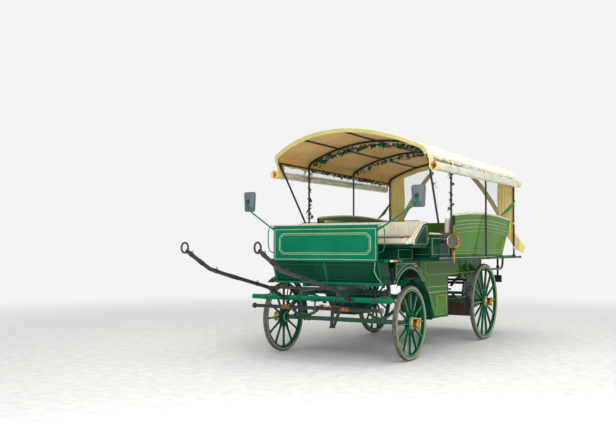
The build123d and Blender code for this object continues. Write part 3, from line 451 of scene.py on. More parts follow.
def rod(form, points, radius, bend=0.0, closed=False, sides=2):
    """A round bar along a path."""
    path = eased_path(points, bend) if bend else [Vector(point) for point in points]
    line = bpy.data.curves.new("bar_line", "CURVE")
    line.dimensions = "3D"
    line.bevel_depth = radius
    line.bevel_resolution = sides
    line.use_fill_caps = True
    line.twist_mode = "MINIMUM"
    run = line.splines.new("POLY")
    run.points.add(len(path) - 1)
    for spot, place in zip(run.points, path):
        spot.co = (*place, 1)
    run.use_cyclic_u = closed
    holder = bpy.data.objects.new("bar_holder", line)
    mesh = bpy.data.meshes.new_from_object(holder)
    form.from_mesh(mesh)
    bpy.data.objects.remove(holder)
    bpy.data.curves.remove(line)
    bpy.data.meshes.remove(mesh)


def dome(form, centre, along, radius, height=None, steps=10):
    """A round bolt head."""
    height = height or radius * 0.6
    turned(form, [(0, radius), (height * 0.6, radius * 0.9), (height, radius * 0.45), (height, 0)],
           centre, along, steps)


def coach_line(form, points, normal, width=0.005, closed=False):
    """A painted line standing a hair proud of the panel that it runs on."""
    normal = Vector(normal).normalized()
    sunk = [Vector(point) - normal * width * 0.32 for point in points]
    rod(form, sunk, width * 0.6, closed=closed, sides=1)


def plate(form, outline, thickness, ease=0.0):
    """A flat plate from its outline, thickened along a vector."""
    face = form.faces.new([form.verts.new(point) for point in outline])
    made = bmesh.ops.extrude_face_region(form, geom=[face])["geom"]
    verts = [item for item in made if isinstance(item, bmesh.types.BMVert)]
    bmesh.ops.translate(form, vec=thickness, verts=verts)
    if ease:
        edges = list({edge for vert in verts + list(face.verts) for edge in vert.link_edges})
        bmesh.ops.bevel(form, geom=edges, offset=ease, affect="EDGES", segments=2, profile=0.5, material=-1)


def cloth_grid(form, across, along, width, length, shape):
    """A sheet of cloth: a grid with its UV in metres, each point placed by a function of u and v."""
    form.loops.layers.uv.new("UVMap")
    made = bmesh.ops.create_grid(form, x_segments=across, y_segments=along, size=0.5, calc_uvs=True)
    layer = form.loops.layers.uv.active
    for face in form.faces:
        for loop in face.loops:
            u, v = loop.vert.co.x + 0.5, loop.vert.co.y + 0.5
            loop[layer].uv = (u * width, v * length)
    for vert in made["verts"]:
        vert.co = shape(vert.co.x + 0.5, vert.co.y + 0.5)


def thicken(piece, thickness, inner_material=0, offset=0.0):
    """Gives a sheet its thickness, with another finish on its far side."""
    shell = piece.modifiers.new("thickness", "SOLIDIFY")
    shell.thickness = thickness
    shell.offset = offset
    shell.material_offset = inner_material


def hang(name, cells, size, shape, material, thickness, inner_material=0):
    """A piece of cloth or film on a grid, with its thickness."""
    form = bmesh.new()
    cloth_grid(form, *cells, *size, shape)
    piece = settle(name, form, material, turn_out=False)
    thicken(piece, thickness, inner_material)
    return piece


# Camera, floor and light
yaw = radians(31.62)
pitch = radians(1.749)
view = Vector((-cos(yaw) * cos(pitch), -sin(yaw) * cos(pitch), sin(pitch)))
camera_data = bpy.data.cameras.new("camera")
camera_data.lens = 46.37
camera_data.sensor_width = 36
camera = bpy.data.objects.new("camera", camera_data)
camera.location = (9.120, 4.712, 1.315)
camera.rotation_mode = "QUATERNION"
camera.rotation_quaternion = view.to_track_quat("-Z", "Y")
bpy.context.scene.collection.objects.link(camera)
bpy.context.scene.camera = camera
bpy.context.scene.view_settings.view_transform = "Standard"

floor_form = bmesh.new()
bmesh.ops.create_grid(floor_form, x_segments=1, y_segments=1, size=60)
floor_mesh = bpy.data.meshes.new("studio_floor")
floor_form.to_mesh(floor_mesh)
floor_form.free()
studio_floor = bpy.data.objects.new("studio_floor", floor_mesh)
bpy.context.scene.collection.objects.link(studio_floor)
floor_finish = plain("studio_floor", srgb(232, 232, 230), 0.85)
tree = floor_finish.node_tree
far_glow = tree.nodes.new("ShaderNodeEmission")
far_glow.inputs["Color"].default_value = (0.9, 0.9, 0.9, 1)
place = tree.nodes.new("ShaderNodeTexCoord")
reach = tree.nodes.new("ShaderNodeVectorMath")
reach.operation = "LENGTH"
tree.links.new(place.outputs["Object"], reach.inputs[0])
fade = tree.nodes.new("ShaderNodeMapRange")
fade.interpolation_type = "SMOOTHSTEP"
fade.inputs["From Min"].default_value = 3.5
fade.inputs["From Max"].default_value = 13.0
tree.links.new(reach.outputs["Value"], fade.inputs["Value"])
blend = tree.nodes.new("ShaderNodeMixShader")
tree.links.new(fade.outputs["Result"], blend.inputs["Fac"])
tree.links.new(tree.nodes["Principled BSDF"].outputs["BSDF"], blend.inputs[1])
tree.links.new(far_glow.outputs["Emission"], blend.inputs[2])
tree.links.new(blend.outputs["Shader"], tree.nodes["Material Output"].inputs["Surface"])
floor_mesh.materials.append(floor_finish)

world = bpy.data.worlds.new("studio")
bpy.context.scene.world = world
world.use_nodes = True
world_tree = world.node_tree
sky = world_tree.nodes["Background"]
sky.inputs["Color"].default_value = (1, 1, 1, 1)
path = world_tree.nodes.new("ShaderNodeLightPath")
seen = world_tree.nodes.new("ShaderNodeMath")
seen.operation = "MAXIMUM"
world_tree.links.new(path.outputs["Is Camera Ray"], seen.inputs[0])
world_tree.links.new(path.outputs["Is Transmission Ray"], seen.inputs[1])
level = world_tree.nodes.new("ShaderNodeMapRange")
level.inputs["To Min"].default_value = 0.62
level.inputs["To Max"].default_value = 0.9
world_tree.links.new(seen.outputs["Value"], level.inputs["Value"])
world_tree.links.new(level.outputs["Result"], sky.inputs["Strength"])

for name, place, size, power in (
    ("key_light", (6.5, 7.5, 7.5), 6.0, 620),
    ("top_light", (-1.0, 0.5, 8.5), 6.0, 330),
    ("low_fill", (7.0, 2.0, 1.2), 4.0, 120),
):
    lamp = bpy.data.lights.new(name, "AREA")
    lamp.size = size
    lamp.energy = power
    holder = bpy.data.objects.new(name, lamp)
    holder.location = place
    aim = Vector((0, 0, 1.2)) - Vector(place)
    holder.rotation_mode = "QUATERNION"
    holder.rotation_quaternion = aim.to_track_quat("-Z", "Y")
    bpy.context.scene.collection.objects.link(holder)


# Finishes of the ironwork and panels that the frame brings
for node, finish in {
    "front_axle": green_iron, "rear_axle": green_iron, "fore_frame": green_iron, "underframe": green_iron,
    "front_guards": deep_green, "draught_bar": black_iron, "shafts": black_iron, "floor": floor_paint,
    "body_sides": side_green, "lockers": deep_green, "locker_door_left": lawn_reflection_green,
    "locker_door_right": lawn_reflection_green, "locker_hinges": green_iron, "deck": deep_green,
    "dash_panel": green_with_painted_light, "side_ledges": deep_green, "toe_board": deep_green, "seat_box": deep_green,
    "driver_seat": deep_green, "low_sides": deep_green, "tall_sides": lawn_reflection_green, "benches": deep_green,
    "rear_wall": lawn_reflection_green, "rear_door": lawn_reflection_green, "rear_steps": deep_green, "step_board": step_brown,
    "canopy_posts": black_iron, "canopy_bows": black_iron, "mirror_arms": green_with_painted_light,
    "spring_loops": green_iron, "brakes": black_iron, "lights": black_iron,
    "hub_cap_front_left": brass_metal, "hub_cap_front_right": brass_metal,
    "hub_cap_rear_left": brass_metal, "hub_cap_rear_right": brass_metal,
}.items():
    dress(node, finish)


# Wheels: wooden nave, spokes and felloes, an iron channel and a solid rubber tyre


def wheel(name, axle_x, hand, radius, spoke_count):
    """One wheel, painted, lined and shod."""
    centre = Vector((axle_x, hand * 0.875, radius))
    out = Vector((0, hand, 0))
    body = f"wheel_{name}"
    rim = radius - 0.026
    wood = bmesh.new()
    nave = [
        (-0.045, 0.026), (-0.045, 0.056), (-0.042, 0.061), (-0.030, 0.063), (-0.027, 0.069), (-0.014, 0.071),
        (-0.012, 0.0815), (0.012, 0.0815), (0.014, 0.071), (0.027, 0.069), (0.030, 0.063), (0.042, 0.061),
        (0.045, 0.056), (0.045, 0.026),
    ]
    turned(wood, nave + nave[:1], centre, out, 40)
    felloe = [
        (-0.018, rim - 0.038), (-0.022, rim - 0.034), (-0.022, rim - 0.001), (0.022, rim - 0.001),
        (0.022, rim - 0.034), (0.018, rim - 0.038),
    ]
    turned(wood, felloe + felloe[:1], centre, out, 72)
    lines = bmesh.new()
    bolts = bmesh.new()
    length = rim - 0.036 - 0.06
    for turn in range(spoke_count):
        angle = 2 * pi * turn / spoke_count
        along = Vector((cos(angle), 0, sin(angle)))
        side = along.cross(out)
        root = centre + along * 0.06
        shape = [
            (0, 0), (0, 0.021), (0.035, 0.0205), (0.075, 0.0150), (0.11, 0.0135), (length * 0.75, 0.0125),
            (length - 0.03, 0.0135), (length, 0.0155), (length, 0),
        ]
        verts = turned(wood, shape, root, along, 12)
        for vert in verts:
            vert.co += out * (vert.co - root).dot(out) * 0.3
        for face_side in (-1, 1):
            near = centre + along * 0.155 + out * face_side * 0.0165
            far = centre + along * (rim - 0.070) + out * face_side * 0.0155
            rod(lines, [near, far], 0.0026, sides=1)
        mid = angle + pi / spoke_count
        if turn % 2 == 0:
            for lean in (-0.055, 0.055):
                spot = Vector((cos(mid + lean / radius), 0, sin(mid + lean / radius)))
                dome(bolts, centre + spot * (rim - 0.023) + out * 0.0218, out, 0.0065, 0.004, 8)
    for reach, place, thick in (
        (rim - 0.007, 0.0215, 0.0050), (rim - 0.030, 0.0215, 0.0022), (0.0695, 0.0290, 0.0030),
        (0.0590, 0.0435, 0.0050), (rim - 0.007, -0.0215, 0.0050), (0.0590, -0.0435, 0.0040),
    ):
        circle = [
            centre + out * place + Vector((cos(2 * pi * k / 64), 0, sin(2 * pi * k / 64))) * reach
            for k in range(64)
        ]
        rod(lines, circle, thick, closed=True, sides=1)
    settle(f"wheel_wood_{name}", wood, gear_green, body)
    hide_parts(f"wheel_{name}")
    settle(f"wheel_lines_{name}", lines, line_cream, body)
    settle(f"felloe_bolts_{name}", bolts, green_iron, body)

    channel = bmesh.new()
    trough = [
        (-0.0245, rim - 0.009), (-0.0262, rim - 0.009), (-0.0262, rim + 0.008), (-0.0235, rim + 0.009),
        (-0.0225, rim + 0.003), (0.0225, rim + 0.003), (0.0235, rim + 0.009), (0.0262, rim + 0.008),
        (0.0262, rim - 0.009), (0.0245, rim - 0.009), (0.0215, rim - 0.002), (-0.0215, rim - 0.002),
    ]
    turned(channel, trough + trough[:1], centre, out, 72)
    settle(f"tyre_channel_{name}", channel, worn_channel, body)
    tread = bmesh.new()
    section = [
        (-0.0230, rim + 0.002), (-0.0246, rim + 0.010), (-0.0240, rim + 0.018), (-0.0200, rim + 0.0238),
        (-0.0120, rim + 0.0258), (0.0, rim + 0.026), (0.0120, rim + 0.0258), (0.0200, rim + 0.0238),
        (0.0240, rim + 0.018), (0.0246, rim + 0.010), (0.0230, rim + 0.002),
    ]
    turned(tread, section + section[:1], centre, out, 96)
    settle(f"tyre_tread_{name}", tread, tyre_rubber, body)
    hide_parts(f"tyre_{name}")

    cap = bmesh.new()
    barrel = [
        (0.0455, 0.0), (0.0455, 0.0535), (0.049, 0.0555), (0.053, 0.0525), (0.060, 0.0505), (0.084, 0.0520),
        (0.096, 0.0560), (0.101, 0.0605), (0.104, 0.0625), (0.110, 0.0630), (0.115, 0.0620), (0.1175, 0.0590),
        (0.1165, 0.0540), (0.109, 0.0500), (0.107, 0.0300), (0.1105, 0.0250), (0.1130, 0.0140), (0.1135, 0.0),
    ]
    turned(cap, barrel, centre, out, 48)
    settle(f"hub_cap_turned_{name}", cap, brass_metal, body)
    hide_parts(f"hub_cap_{name}")


wheel("front_left", front_axle, 1, front_radius, 12)
wheel("front_right", front_axle, -1, front_radius, 12)
wheel("rear_left", rear_axle, 1, rear_radius, 14)
wheel("rear_right", rear_axle, -1, rear_radius, 14)


# Elliptic springs, built of leaves that shorten away from the main leaf


def elliptic_springs(name, axle_x, low, high, body):
    """A pair of full elliptic springs between the axle and the frame."""
    leaves = bmesh.new()
    fittings = bmesh.new()
    half = 0.43
    middle = (low + high) / 2
    for hand in (-1, 1):
        y = hand * spring_y
        for way in (-1, 1):
            rise = (high - low) / 2 - 0.026
            for leaf in range(4):
                reach = half - 0.012 - 0.085 * leaf
                main = (half - 0.012) ** 2
                radius = (main + rise ** 2) / (2 * rise) + 0.0065 * leaf
                cent = Vector((axle_x, y, middle + way * (rise - (main + rise ** 2) / (2 * rise))))
                turn = 2 * atan2(reach, radius)
                start = way * pi / 2 - way * turn / 2
                out = Vector((cos(start), 0, sin(start)))
                corners = [
                    cent + out * (radius + depth) + Vector((0, side, 0))
                    for depth, side in ((0, -0.0215), (0, 0.0215), (0.0058, 0.0215), (0.0058, -0.0215))
                ]
                verts = [leaves.verts.new(corner) for corner in corners]
                face = leaves.faces.new(verts)
                bmesh.ops.spin(
                    leaves, geom=verts + list(face.edges) + [face], cent=cent, axis=(0, -way, 0),
                    angle=turn, steps=18,
                )
            clamp = axle_x, y, middle + way * (rise + 0.013)
            board(
                fittings, (clamp[0] - 0.045, y - 0.0265, clamp[2] - 0.0135),
                (clamp[0] + 0.045, y + 0.0265, clamp[2] + 0.0125), 0.002,
            )
            for lengthways in (-0.032, 0.032):
                for side in (-0.026, 0.026):
                    rod(fittings, [
                        (axle_x + lengthways, y + side, clamp[2] - 0.03),
                        (axle_x + lengthways, y + side, clamp[2] + 0.03),
                    ], 0.0045)
        for end in (-1, 1):
            eye = Vector((axle_x + end * (half - 0.008), y, middle))
            turned(
                fittings,
                [(-0.0235, 0), (-0.0235, 0.0125), (0.0235, 0.0125), (0.0235, 0)],
                eye, (0, 1, 0), 16,
            )
            dome(fittings, eye + Vector((0, 0.0235, 0)), (0, 1, 0), 0.0075, 0.005, 8)
            dome(fittings, eye - Vector((0, 0.0235, 0)), (0, -1, 0), 0.0075, 0.005, 8)
    settle(f"{name}_leaves", leaves, green_iron, body, smooth=False)
    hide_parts(name)
    settle(f"{name}_fittings", fittings, green_iron, body)


elliptic_springs("front_springs", front_axle, 0.460, 0.741, "fore_carriage")
elliptic_springs("rear_springs", rear_axle, 0.565, 0.885, "carriage")


# Soft goods: stuffing, seams and piping


def set_hard(piece):
    """Applies a piece's modifiers to its mesh."""
    bpy.context.view_layer.update()
    mesh = bpy.data.meshes.new_from_object(piece.evaluated_get(bpy.context.evaluated_depsgraph_get()))
    mesh.name = piece.name
    piece.modifiers.clear()
    piece.data = mesh


def stuff(piece, cap, voxel, pressure=4.0):
    """Fills a cushion's cover from inside until it swells by no more than the cap."""
    skin = piece.modifiers.new("even_skin", "REMESH")
    skin.mode = "VOXEL"
    skin.voxel_size = voxel
    skin.use_smooth_shade = True
    set_hard(piece)
    start = [vert.co.copy() for vert in piece.data.vertices]
    filling = piece.modifiers.new("filling", "CLOTH")
    filling.settings.quality = 5
    filling.settings.use_pressure = True
    filling.settings.uniform_pressure_force = pressure
    filling.settings.effector_weights.gravity = 0
    for moment in range(1, 21):
        bpy.context.scene.frame_set(moment)
    set_hard(piece)
    bpy.context.scene.frame_set(1)
    for vert, before in zip(piece.data.vertices, start):
        moved = vert.co - before
        if moved.length > cap:
            vert.co = before + moved.normalized() * cap


def pad_block(low, high, ease):
    """A cushion's cover before it is filled."""
    form = bmesh.new()
    board(form, low, high, ease, 3)
    return form


def channel(piece, places, axis, depth, width, top_only=None):
    """Sewn channels pulled into a cushion across one axis."""
    for vert in piece.data.vertices:
        place = vert.co[axis]
        for seam in places:
            away = abs(place - seam)
            if away < 3 * width:
                pull = depth * (2.718 ** (-(away / width) ** 2))
                if top_only is None:
                    vert.co.z -= pull
                else:
                    vert.co += Vector(top_only) * pull


def finish_pad(piece):
    """Smooth shading of a cushion."""
    for face in piece.data.polygons:
        face.use_smooth = True


seat_cushion = settle("driver_cushion_cover", pad_block(
    (0.226, -0.842, 1.3405), (0.682, 0.842, 1.4235), 0.02), cream_vinyl)
stuff(seat_cushion, 0.008, 0.014, 3.5)
channel(seat_cushion, (-0.42, 0.0, 0.42), 1, 0.006, 0.012)
finish_pad(seat_cushion)
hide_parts("driver_cushion")

back_pad = settle("driver_back_cover", pad_block((0.2225, -0.842, 1.437), (0.300, 0.842, 1.632), 0.018),
                  cream_vinyl)
stuff(back_pad, 0.006, 0.012, 3.0)
channel(back_pad, [k * 0.14 for k in range(-5, 6)], 1, 0.007, 0.010, (-1, 0, 0))
finish_pad(back_pad)
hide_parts("driver_back_pad")

for hand, side in ((1, "left"), (-1, "right")):
    arm = bmesh.new()
    plate(arm, [
        (0.732, hand * 0.8555, 1.342), (0.2235, hand * 0.8555, 1.342), (0.2235, hand * 0.8555, 1.630),
        (0.306, hand * 0.8555, 1.620), (0.420, hand * 0.8555, 1.545), (0.560, hand * 0.8555, 1.455),
        (0.690, hand * 0.8555, 1.398), (0.738, hand * 0.8555, 1.372),
    ], (0, hand * 0.034, 0), 0.010)
    arm_pad = settle(f"arm_pad_{side}", arm, cream_vinyl)
    stuff(arm_pad, 0.005, 0.007, 3.0)
    finish_pad(arm_pad)
    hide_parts("driver_arm_pads")

    bench = settle(f"bench_cushion_{side}", pad_block(
        (-2.317, hand * 0.428, 1.3565), (0.062, hand * 0.922, 1.4335), 0.02), cream_vinyl)
    stuff(bench, 0.008, 0.016, 3.5)
    channel(bench, (-1.84, -1.365, -0.89, -0.415), 0, 0.007, 0.012)
    finish_pad(bench)
    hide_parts("bench_cushions")

    rest = bmesh.new()
    board(rest, (-2.318, hand * 0.868, 1.447), (-0.448, hand * 0.9235, 1.692), 0.016, 3)
    board(rest, (-0.428, hand * 0.868, 1.447), (0.063, hand * 0.9235, 1.472), 0.008, 3)
    side_rest = settle(f"side_rest_{side}", rest, cream_vinyl)
    stuff(side_rest, 0.006, 0.012, 3.0)
    channel(side_rest, [-2.2 + 0.17 * k for k in range(11)], 0, 0.007, 0.010, (0, hand, 0))
    finish_pad(side_rest)
    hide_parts("side_pads")


# Canopy: one cloth over the bows, sagging in each bay, with its valances and corner gussets
slope = atan2(0.05, 3.37)
eaves_back = Vector((-cos(slope), 0, -sin(slope)))
eaves_up = Vector((-sin(slope), 0, cos(slope)))
post_y = 1.042
corner_radius = 0.10
corner_y = post_y - corner_radius
roof_rise = 0.315
roof_length = 3.37
crown_radius = (corner_y ** 2 + roof_rise ** 2 - corner_radius ** 2) / (2 * (roof_rise - corner_radius))
corner_turn = atan2(crown_radius - roof_rise, corner_y)
corner_run = corner_radius * corner_turn
crown_run = crown_radius * (pi - 2 * corner_turn)
arch_run = 2 * corner_run + crown_run
bow_places = (0.0, 0.78, 2.08, 3.345)


def eaves_place(back, across, up):
    """A place behind the roof's front, across it and above the eaves line."""
    return Vector((0.525, 0, 2.415)) + eaves_back * back + Vector((0, across, 0)) + eaves_up * up


def arch_place(run, grow):
    """Across and up on the roof's arch, so far along it from the right eaves line."""
    if run < corner_run:
        turn = run / corner_radius
        return -corner_y - (corner_radius + grow) * cos(turn), (corner_radius + grow) * sin(turn)
    if run > arch_run - corner_run:
        turn = (arch_run - run) / corner_radius
        return corner_y + (corner_radius + grow) * cos(turn), (corner_radius + grow) * sin(turn)
    turn = corner_turn + (run - corner_run) / crown_radius
    return (
        -(crown_radius + grow) * cos(turn),
        roof_rise - crown_radius + (crown_radius + grow) * sin(turn),
    )


def bay_sag(back, across, up):
    """How far the cloth hangs between the bows and purlins."""
    sag = 0
    for fore, aft in zip(bow_places, bow_places[1:]):
        fore_edge = fore - 0.8 * max(0, up) if fore == 0 else fore
        if fore_edge < back < aft:
            sag = 0.016 * sin(pi * (back - fore_edge) / (aft - fore_edge)) ** 0.8
    lanes = (-1.0, -0.56, 0, 0.56, 1.0)
    for left, right in zip(lanes, lanes[1:]):
        if left <= across <= right:
            return sag * (0.25 + 0.75 * sin(pi * (across - left) / (right - left)))
    return 0


def valance_drop(back):
    """How far the cloth hangs below the eaves, deeper at the front corner's gusset."""
    if back < 0.152:
        return 0.030 + 0.150 * back / 0.152
    if back < 0.172:
        return 0.180
    return 0.030 + 0.006 * sin(2 * pi * back / 0.31 + 0.6)


def roof_place(u, v):
    """A point of the roof cloth, across and along it."""
    skirt = 0.10
    run = u * (arch_run + 2 * skirt) - skirt
    over = -run if run < 0 else run - arch_run if run > arch_run else 0
    hand = -1 if u < 0.5 else 1
    if not over:
        across, up = arch_place(run, 0.0168)
        front = -0.8 * max(up - 0.002, 0)
        back = front + (roof_length - 0.003 - front) * v
        up -= bay_sag(back, across, up)
        return eaves_place(back, across, up)
    share = over / skirt
    back = (roof_length - 0.003) * v
    down = share * valance_drop(back)
    ripple = 0.004 * share * sin(2 * pi * back / 0.31) if back > 0.3 else 0
    return eaves_place(back, hand * (post_y + 0.0175 + ripple), -down)


roof_cloth = hang("roof_cloth", (132, 170), (arch_run + 0.2, 3.5), roof_place, [roof_outside, roof_inside_painted_daylight],
                  0.0028, 1)
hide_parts("roof_canvas")

# Canopy trim: facing of the front hoop, hems and seams
hoop_normal = (eaves_back + eaves_up * 0.8).normalized()
facing = bmesh.new()
rims = []
for grow in (-0.019, 0.0235):
    chain = []
    for k in range(91):
        across, up = arch_place(arch_run * k / 90, grow)
        chain.append(facing.verts.new(eaves_place(-0.8 * up, across, up) - hoop_normal * 0.0140))
    rims += [facing.edges.new(pair) for pair in zip(chain, chain[1:])]
bmesh.ops.bridge_loops(facing, edges=rims)
front = bmesh.ops.extrude_face_region(facing, geom=facing.faces[:])["geom"]
front_verts = [item for item in front if isinstance(item, bmesh.types.BMVert)]
bmesh.ops.translate(facing, vec=-hoop_normal * 0.006, verts=front_verts)
settle("front_hem", facing, hem_canvas)

hems = bmesh.new()
seams = bmesh.new()
for hand in (-1, 1):
    edge_y = hand * (post_y + 0.0178)
    rod(hems, [
        eaves_place(-0.004, edge_y, 0.004), eaves_place(0.150, edge_y, -0.183),
        eaves_place(0.174, edge_y, -0.180), eaves_place(0.176, edge_y, -0.034),
    ], 0.0055, 0.012)
    low_hem = []
    for k in range(120):
        back = 0.176 + (roof_length - 0.181) * k / 119
        ripple = 0.004 * sin(2 * pi * back / 0.31) if back > 0.3 else 0
        low_hem.append(eaves_place(back, hand * (post_y + 0.0175 + ripple), -valance_drop(back)))
    rod(hems, low_hem, 0.0042)
rod(hems, [
    eaves_place(roof_length - 0.005, *arch_place(arch_run * k / 60, 0.0168)) for k in range(61)
], 0.0048)
for back in bow_places[1:3]:
    for shift in (-0.016, 0.016):
        rod(seams, [
            eaves_place(back + shift, *arch_place(arch_run * k / 60, 0.0172)) for k in range(61)
        ], 0.0021, sides=1)
settle("roof_hems", hems, hem_canvas)
settle("roof_seams", seams, hem_canvas)

# Side curtains: clear film that hangs from the eaves and is wound up below them, tied at the posts
roll_y = 1.1186
roll_out = 0.0548
roll_start = radians(155)
tie_start = radians(118)
tie_radius = 0.0562
tie_fall = 0.10
tie_places = (0.742, 1.989, 3.20)
hung = 0.11
wound = 1.15


def roll_axis(back):
    """Height of the rolled curtain's middle above the eaves line."""
    return -0.145 + 0.05 * (back - 0.02) / 3.32


for hand, side in ((1, "left"), (-1, "right")):

    def curtain_place(u, v):
        """A point of the side curtain, down from the eaves and back along it."""
        back = 0.02 + 3.32 * v
        centre = roll_axis(back)
        down = u * (hung + wound)
        if down < hung:
            share = down / hung
            end_y = roll_y + roll_out * cos(roll_start)
            end_up = centre + roll_out * sin(roll_start)
            start_y = post_y + 0.0205
            return eaves_place(
                back, hand * (start_y + (end_y - start_y) * share), -0.004 + (end_up + 0.004) * share
            )
        share = (down - hung) / wound
        turn = roll_start - share * 2 * pi * 3.6
        tight = sum(0.08 * 2.718 ** (-((back - tie) / 0.06) ** 2) for tie in tie_places)
        radius = (roll_out - 0.014 * share) * (1 - tight)
        radius += 0.0012 * sin(back * 37 + 3 * sin(turn * 2)) - 0.0012
        return eaves_place(back, hand * (roll_y + radius * cos(turn)), centre + radius * sin(turn))

    curtain_form = bmesh.new()
    cloth_grid(curtain_form, 100, 84, hung + wound, 3.32, curtain_place)
    layer = curtain_form.loops.layers.uv.active
    for face in curtain_form.faces:
        middle = sum((loop[layer].uv for loop in face.loops), Vector((0, 0))) / len(face.loops)
        if middle.y < 0.10 or middle.y > 3.25:
            face.material_index = 2
        elif middle.x > hung:
            face.material_index = 1
    curtain_piece = settle(f"side_curtain_{side}", curtain_form,
                           [window_film, rolled_film, curtain_canvas], turn_out=False)
    thicken(curtain_piece, 0.0011)
    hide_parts("curtain_rolls")

    for back in tie_places:
        centre = roll_axis(back)

        def tie_place(u, v):
            """A tie strap that narrows from the eaves and goes round the rolled curtain."""
            around = v * 0.40
            wide = 0.100 - 0.074 * min(1, around / tie_fall)
            at = back + (u - 0.5) * wide
            if around < tie_fall:
                share = around / tie_fall
                end_y = roll_y + tie_radius * cos(tie_start)
                end_up = centre + tie_radius * sin(tie_start)
                start_y = post_y + 0.0228
                return eaves_place(
                    at, hand * (start_y + (end_y - start_y) * share), 0.004 + (end_up - 0.004) * share
                )
            turn = tie_start - (around - tie_fall) / tie_radius
            return eaves_place(
                at, hand * (roll_y + tie_radius * cos(turn)), centre + tie_radius * sin(turn)
            )

        hang(f"curtain_tie_{side}_{round(back * 100)}", (4, 40), (0.1, 0.4), tie_place, tie_cream,
             0.0018)

# Rear curtain: a band under the last bow, corner strips, and film drawn aside behind a hem
curtain_x = -2.8362
curtain_thickness = 0.0022
rear_eaves = eaves_place(3.358, 0, 0).z


def under_arch(across, grow):
    """Height of the roof's arch at a place across it."""
    across = min(abs(across), post_y + grow - 0.0005)
    if across > corner_y:
        return rear_eaves + sqrt(max(0, (corner_radius + grow) ** 2 - (across - corner_y) ** 2))
    return rear_eaves + roof_rise - crown_radius + sqrt((crown_radius + grow) ** 2 - across ** 2)


def free_edge(v):
    """Across and up on the slanting free edge of the drawn film."""
    return Vector((0.27 + 0.53 * v, 2.52 - 0.72 * v + 0.05 * sin(pi * v)))


def band_place(u, v):
    """A point of the band under the last bow."""
    across, up = arch_place(arch_run * u, 0.011 - 0.094 * v)
    fold = 0.0035 * (1 + sin(u * 60 + 2 * v)) * (0.3 + v)
    return Vector((curtain_x - fold, across, rear_eaves + up))


band_piece = hang("rear_curtain_band", (150, 8), (arch_run, 0.094), band_place, curtain_canvas,
                  curtain_thickness)

for hand, side in ((1, "left"), (-1, "right")):

    def strip_place(u, v):
        """A corner strip of the rear curtain, in loose folds."""
        across = 0.786 + 0.266 * u
        head = under_arch(across, -0.004)
        foot = 1.70 - 0.40 * u
        fold = 0.0045 * (1 + sin(u * 34 + 1.5 * v)) * min(1, 0.25 + 1.5 * v)
        wander = 0.004 * sin(9 * v)
        return Vector((curtain_x - 0.0035 - fold, hand * (across + wander), head + (foot - head) * v))

    strip_piece = hang(
        f"rear_curtain_strip_{side}", (36, 48), (0.27, 1.0), strip_place, curtain_canvas,
        curtain_thickness,
    )
    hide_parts("rear_curtain")

    def drawn_place(u, v):
        """Film drawn towards the corner, from its slanting free edge to the strip."""
        edge = free_edge(v)
        if v < 0.5:
            far = Vector((0.30 + 0.49 * v / 0.5, 0))
            far.y = under_arch(far.x, -0.070)
        else:
            head = under_arch(0.79, -0.07)
            far = Vector((0.790, head + (1.79 - head) * (v - 0.5) / 0.5))
        spot = edge.lerp(far, u)
        fold = 0.003 * (1 + sin(u * 15 + v * 5))
        return Vector((curtain_x - 0.002 - fold, hand * spot.x, spot.y))

    drawn_piece = hang(
        f"rear_film_{side}", (20, 40), (0.30, 0.80), drawn_place, window_film,
        0.0008,
    )

    def border_place(u, v):
        """The canvas border along the film's free edge."""
        spot = free_edge(v)
        spot += Vector((0.75, 0.62)).normalized() * (u - 0.25) * 0.072
        spot.y = min(spot.y, under_arch(spot.x, -0.012))
        return Vector((curtain_x - 0.0115 - 0.002 * sin(v * 20), hand * spot.x, spot.y))

    border_piece = hang(
        f"rear_border_{side}", (6, 44), (0.072, 0.90), border_place, border_canvas,
        curtain_thickness,
    )

    def flap_place(u, v):
        """A loose corner of the curtain outside the rear post."""
        near = Vector((1.0505, 1.532 - 0.229 * v))
        far = Vector((1.200 - 0.031 * v, 1.334 - 0.106 * v))
        spot = near.lerp(far, u)
        return Vector((curtain_x - 0.004 - 0.022 * u * u - 0.006 * sin(u * 9), hand * spot.x, spot.y))

    flap_piece = hang(
        f"rear_curtain_flap_{side}", (16, 14), (0.25, 0.22), flap_place, curtain_canvas,
        curtain_thickness,
    )

    stay = bmesh.new()
    plate(stay, [
        (-2.29, hand * 1.0000, 1.772), (-2.34, hand * 1.0000, 1.772), (-2.62, hand * 1.0310, 1.855),
        (-2.845, hand * 1.0585, 2.000), (-2.845, hand * 1.0585, 2.040),
    ], (0, hand * 0.0025, 0))
    settle(f"curtain_stay_{side}", stay, strap_green)
    post_ties = bmesh.new()
    for height in (1.979, 1.675, 1.312):
        collar(post_ties, (-2.82, hand * post_y, height), (0, 0, 1), 0.013, post_bore, 0.0165, 16)
        rod(post_ties, [
            (-2.82, hand * (post_y + 0.016), height), (-2.832, hand * (post_y + 0.026), height - 0.03),
            (-2.836, hand * (post_y + 0.022), height - 0.075),
        ], 0.0035, 0.02)
    settle(f"post_ties_{side}", post_ties, tie_cream)

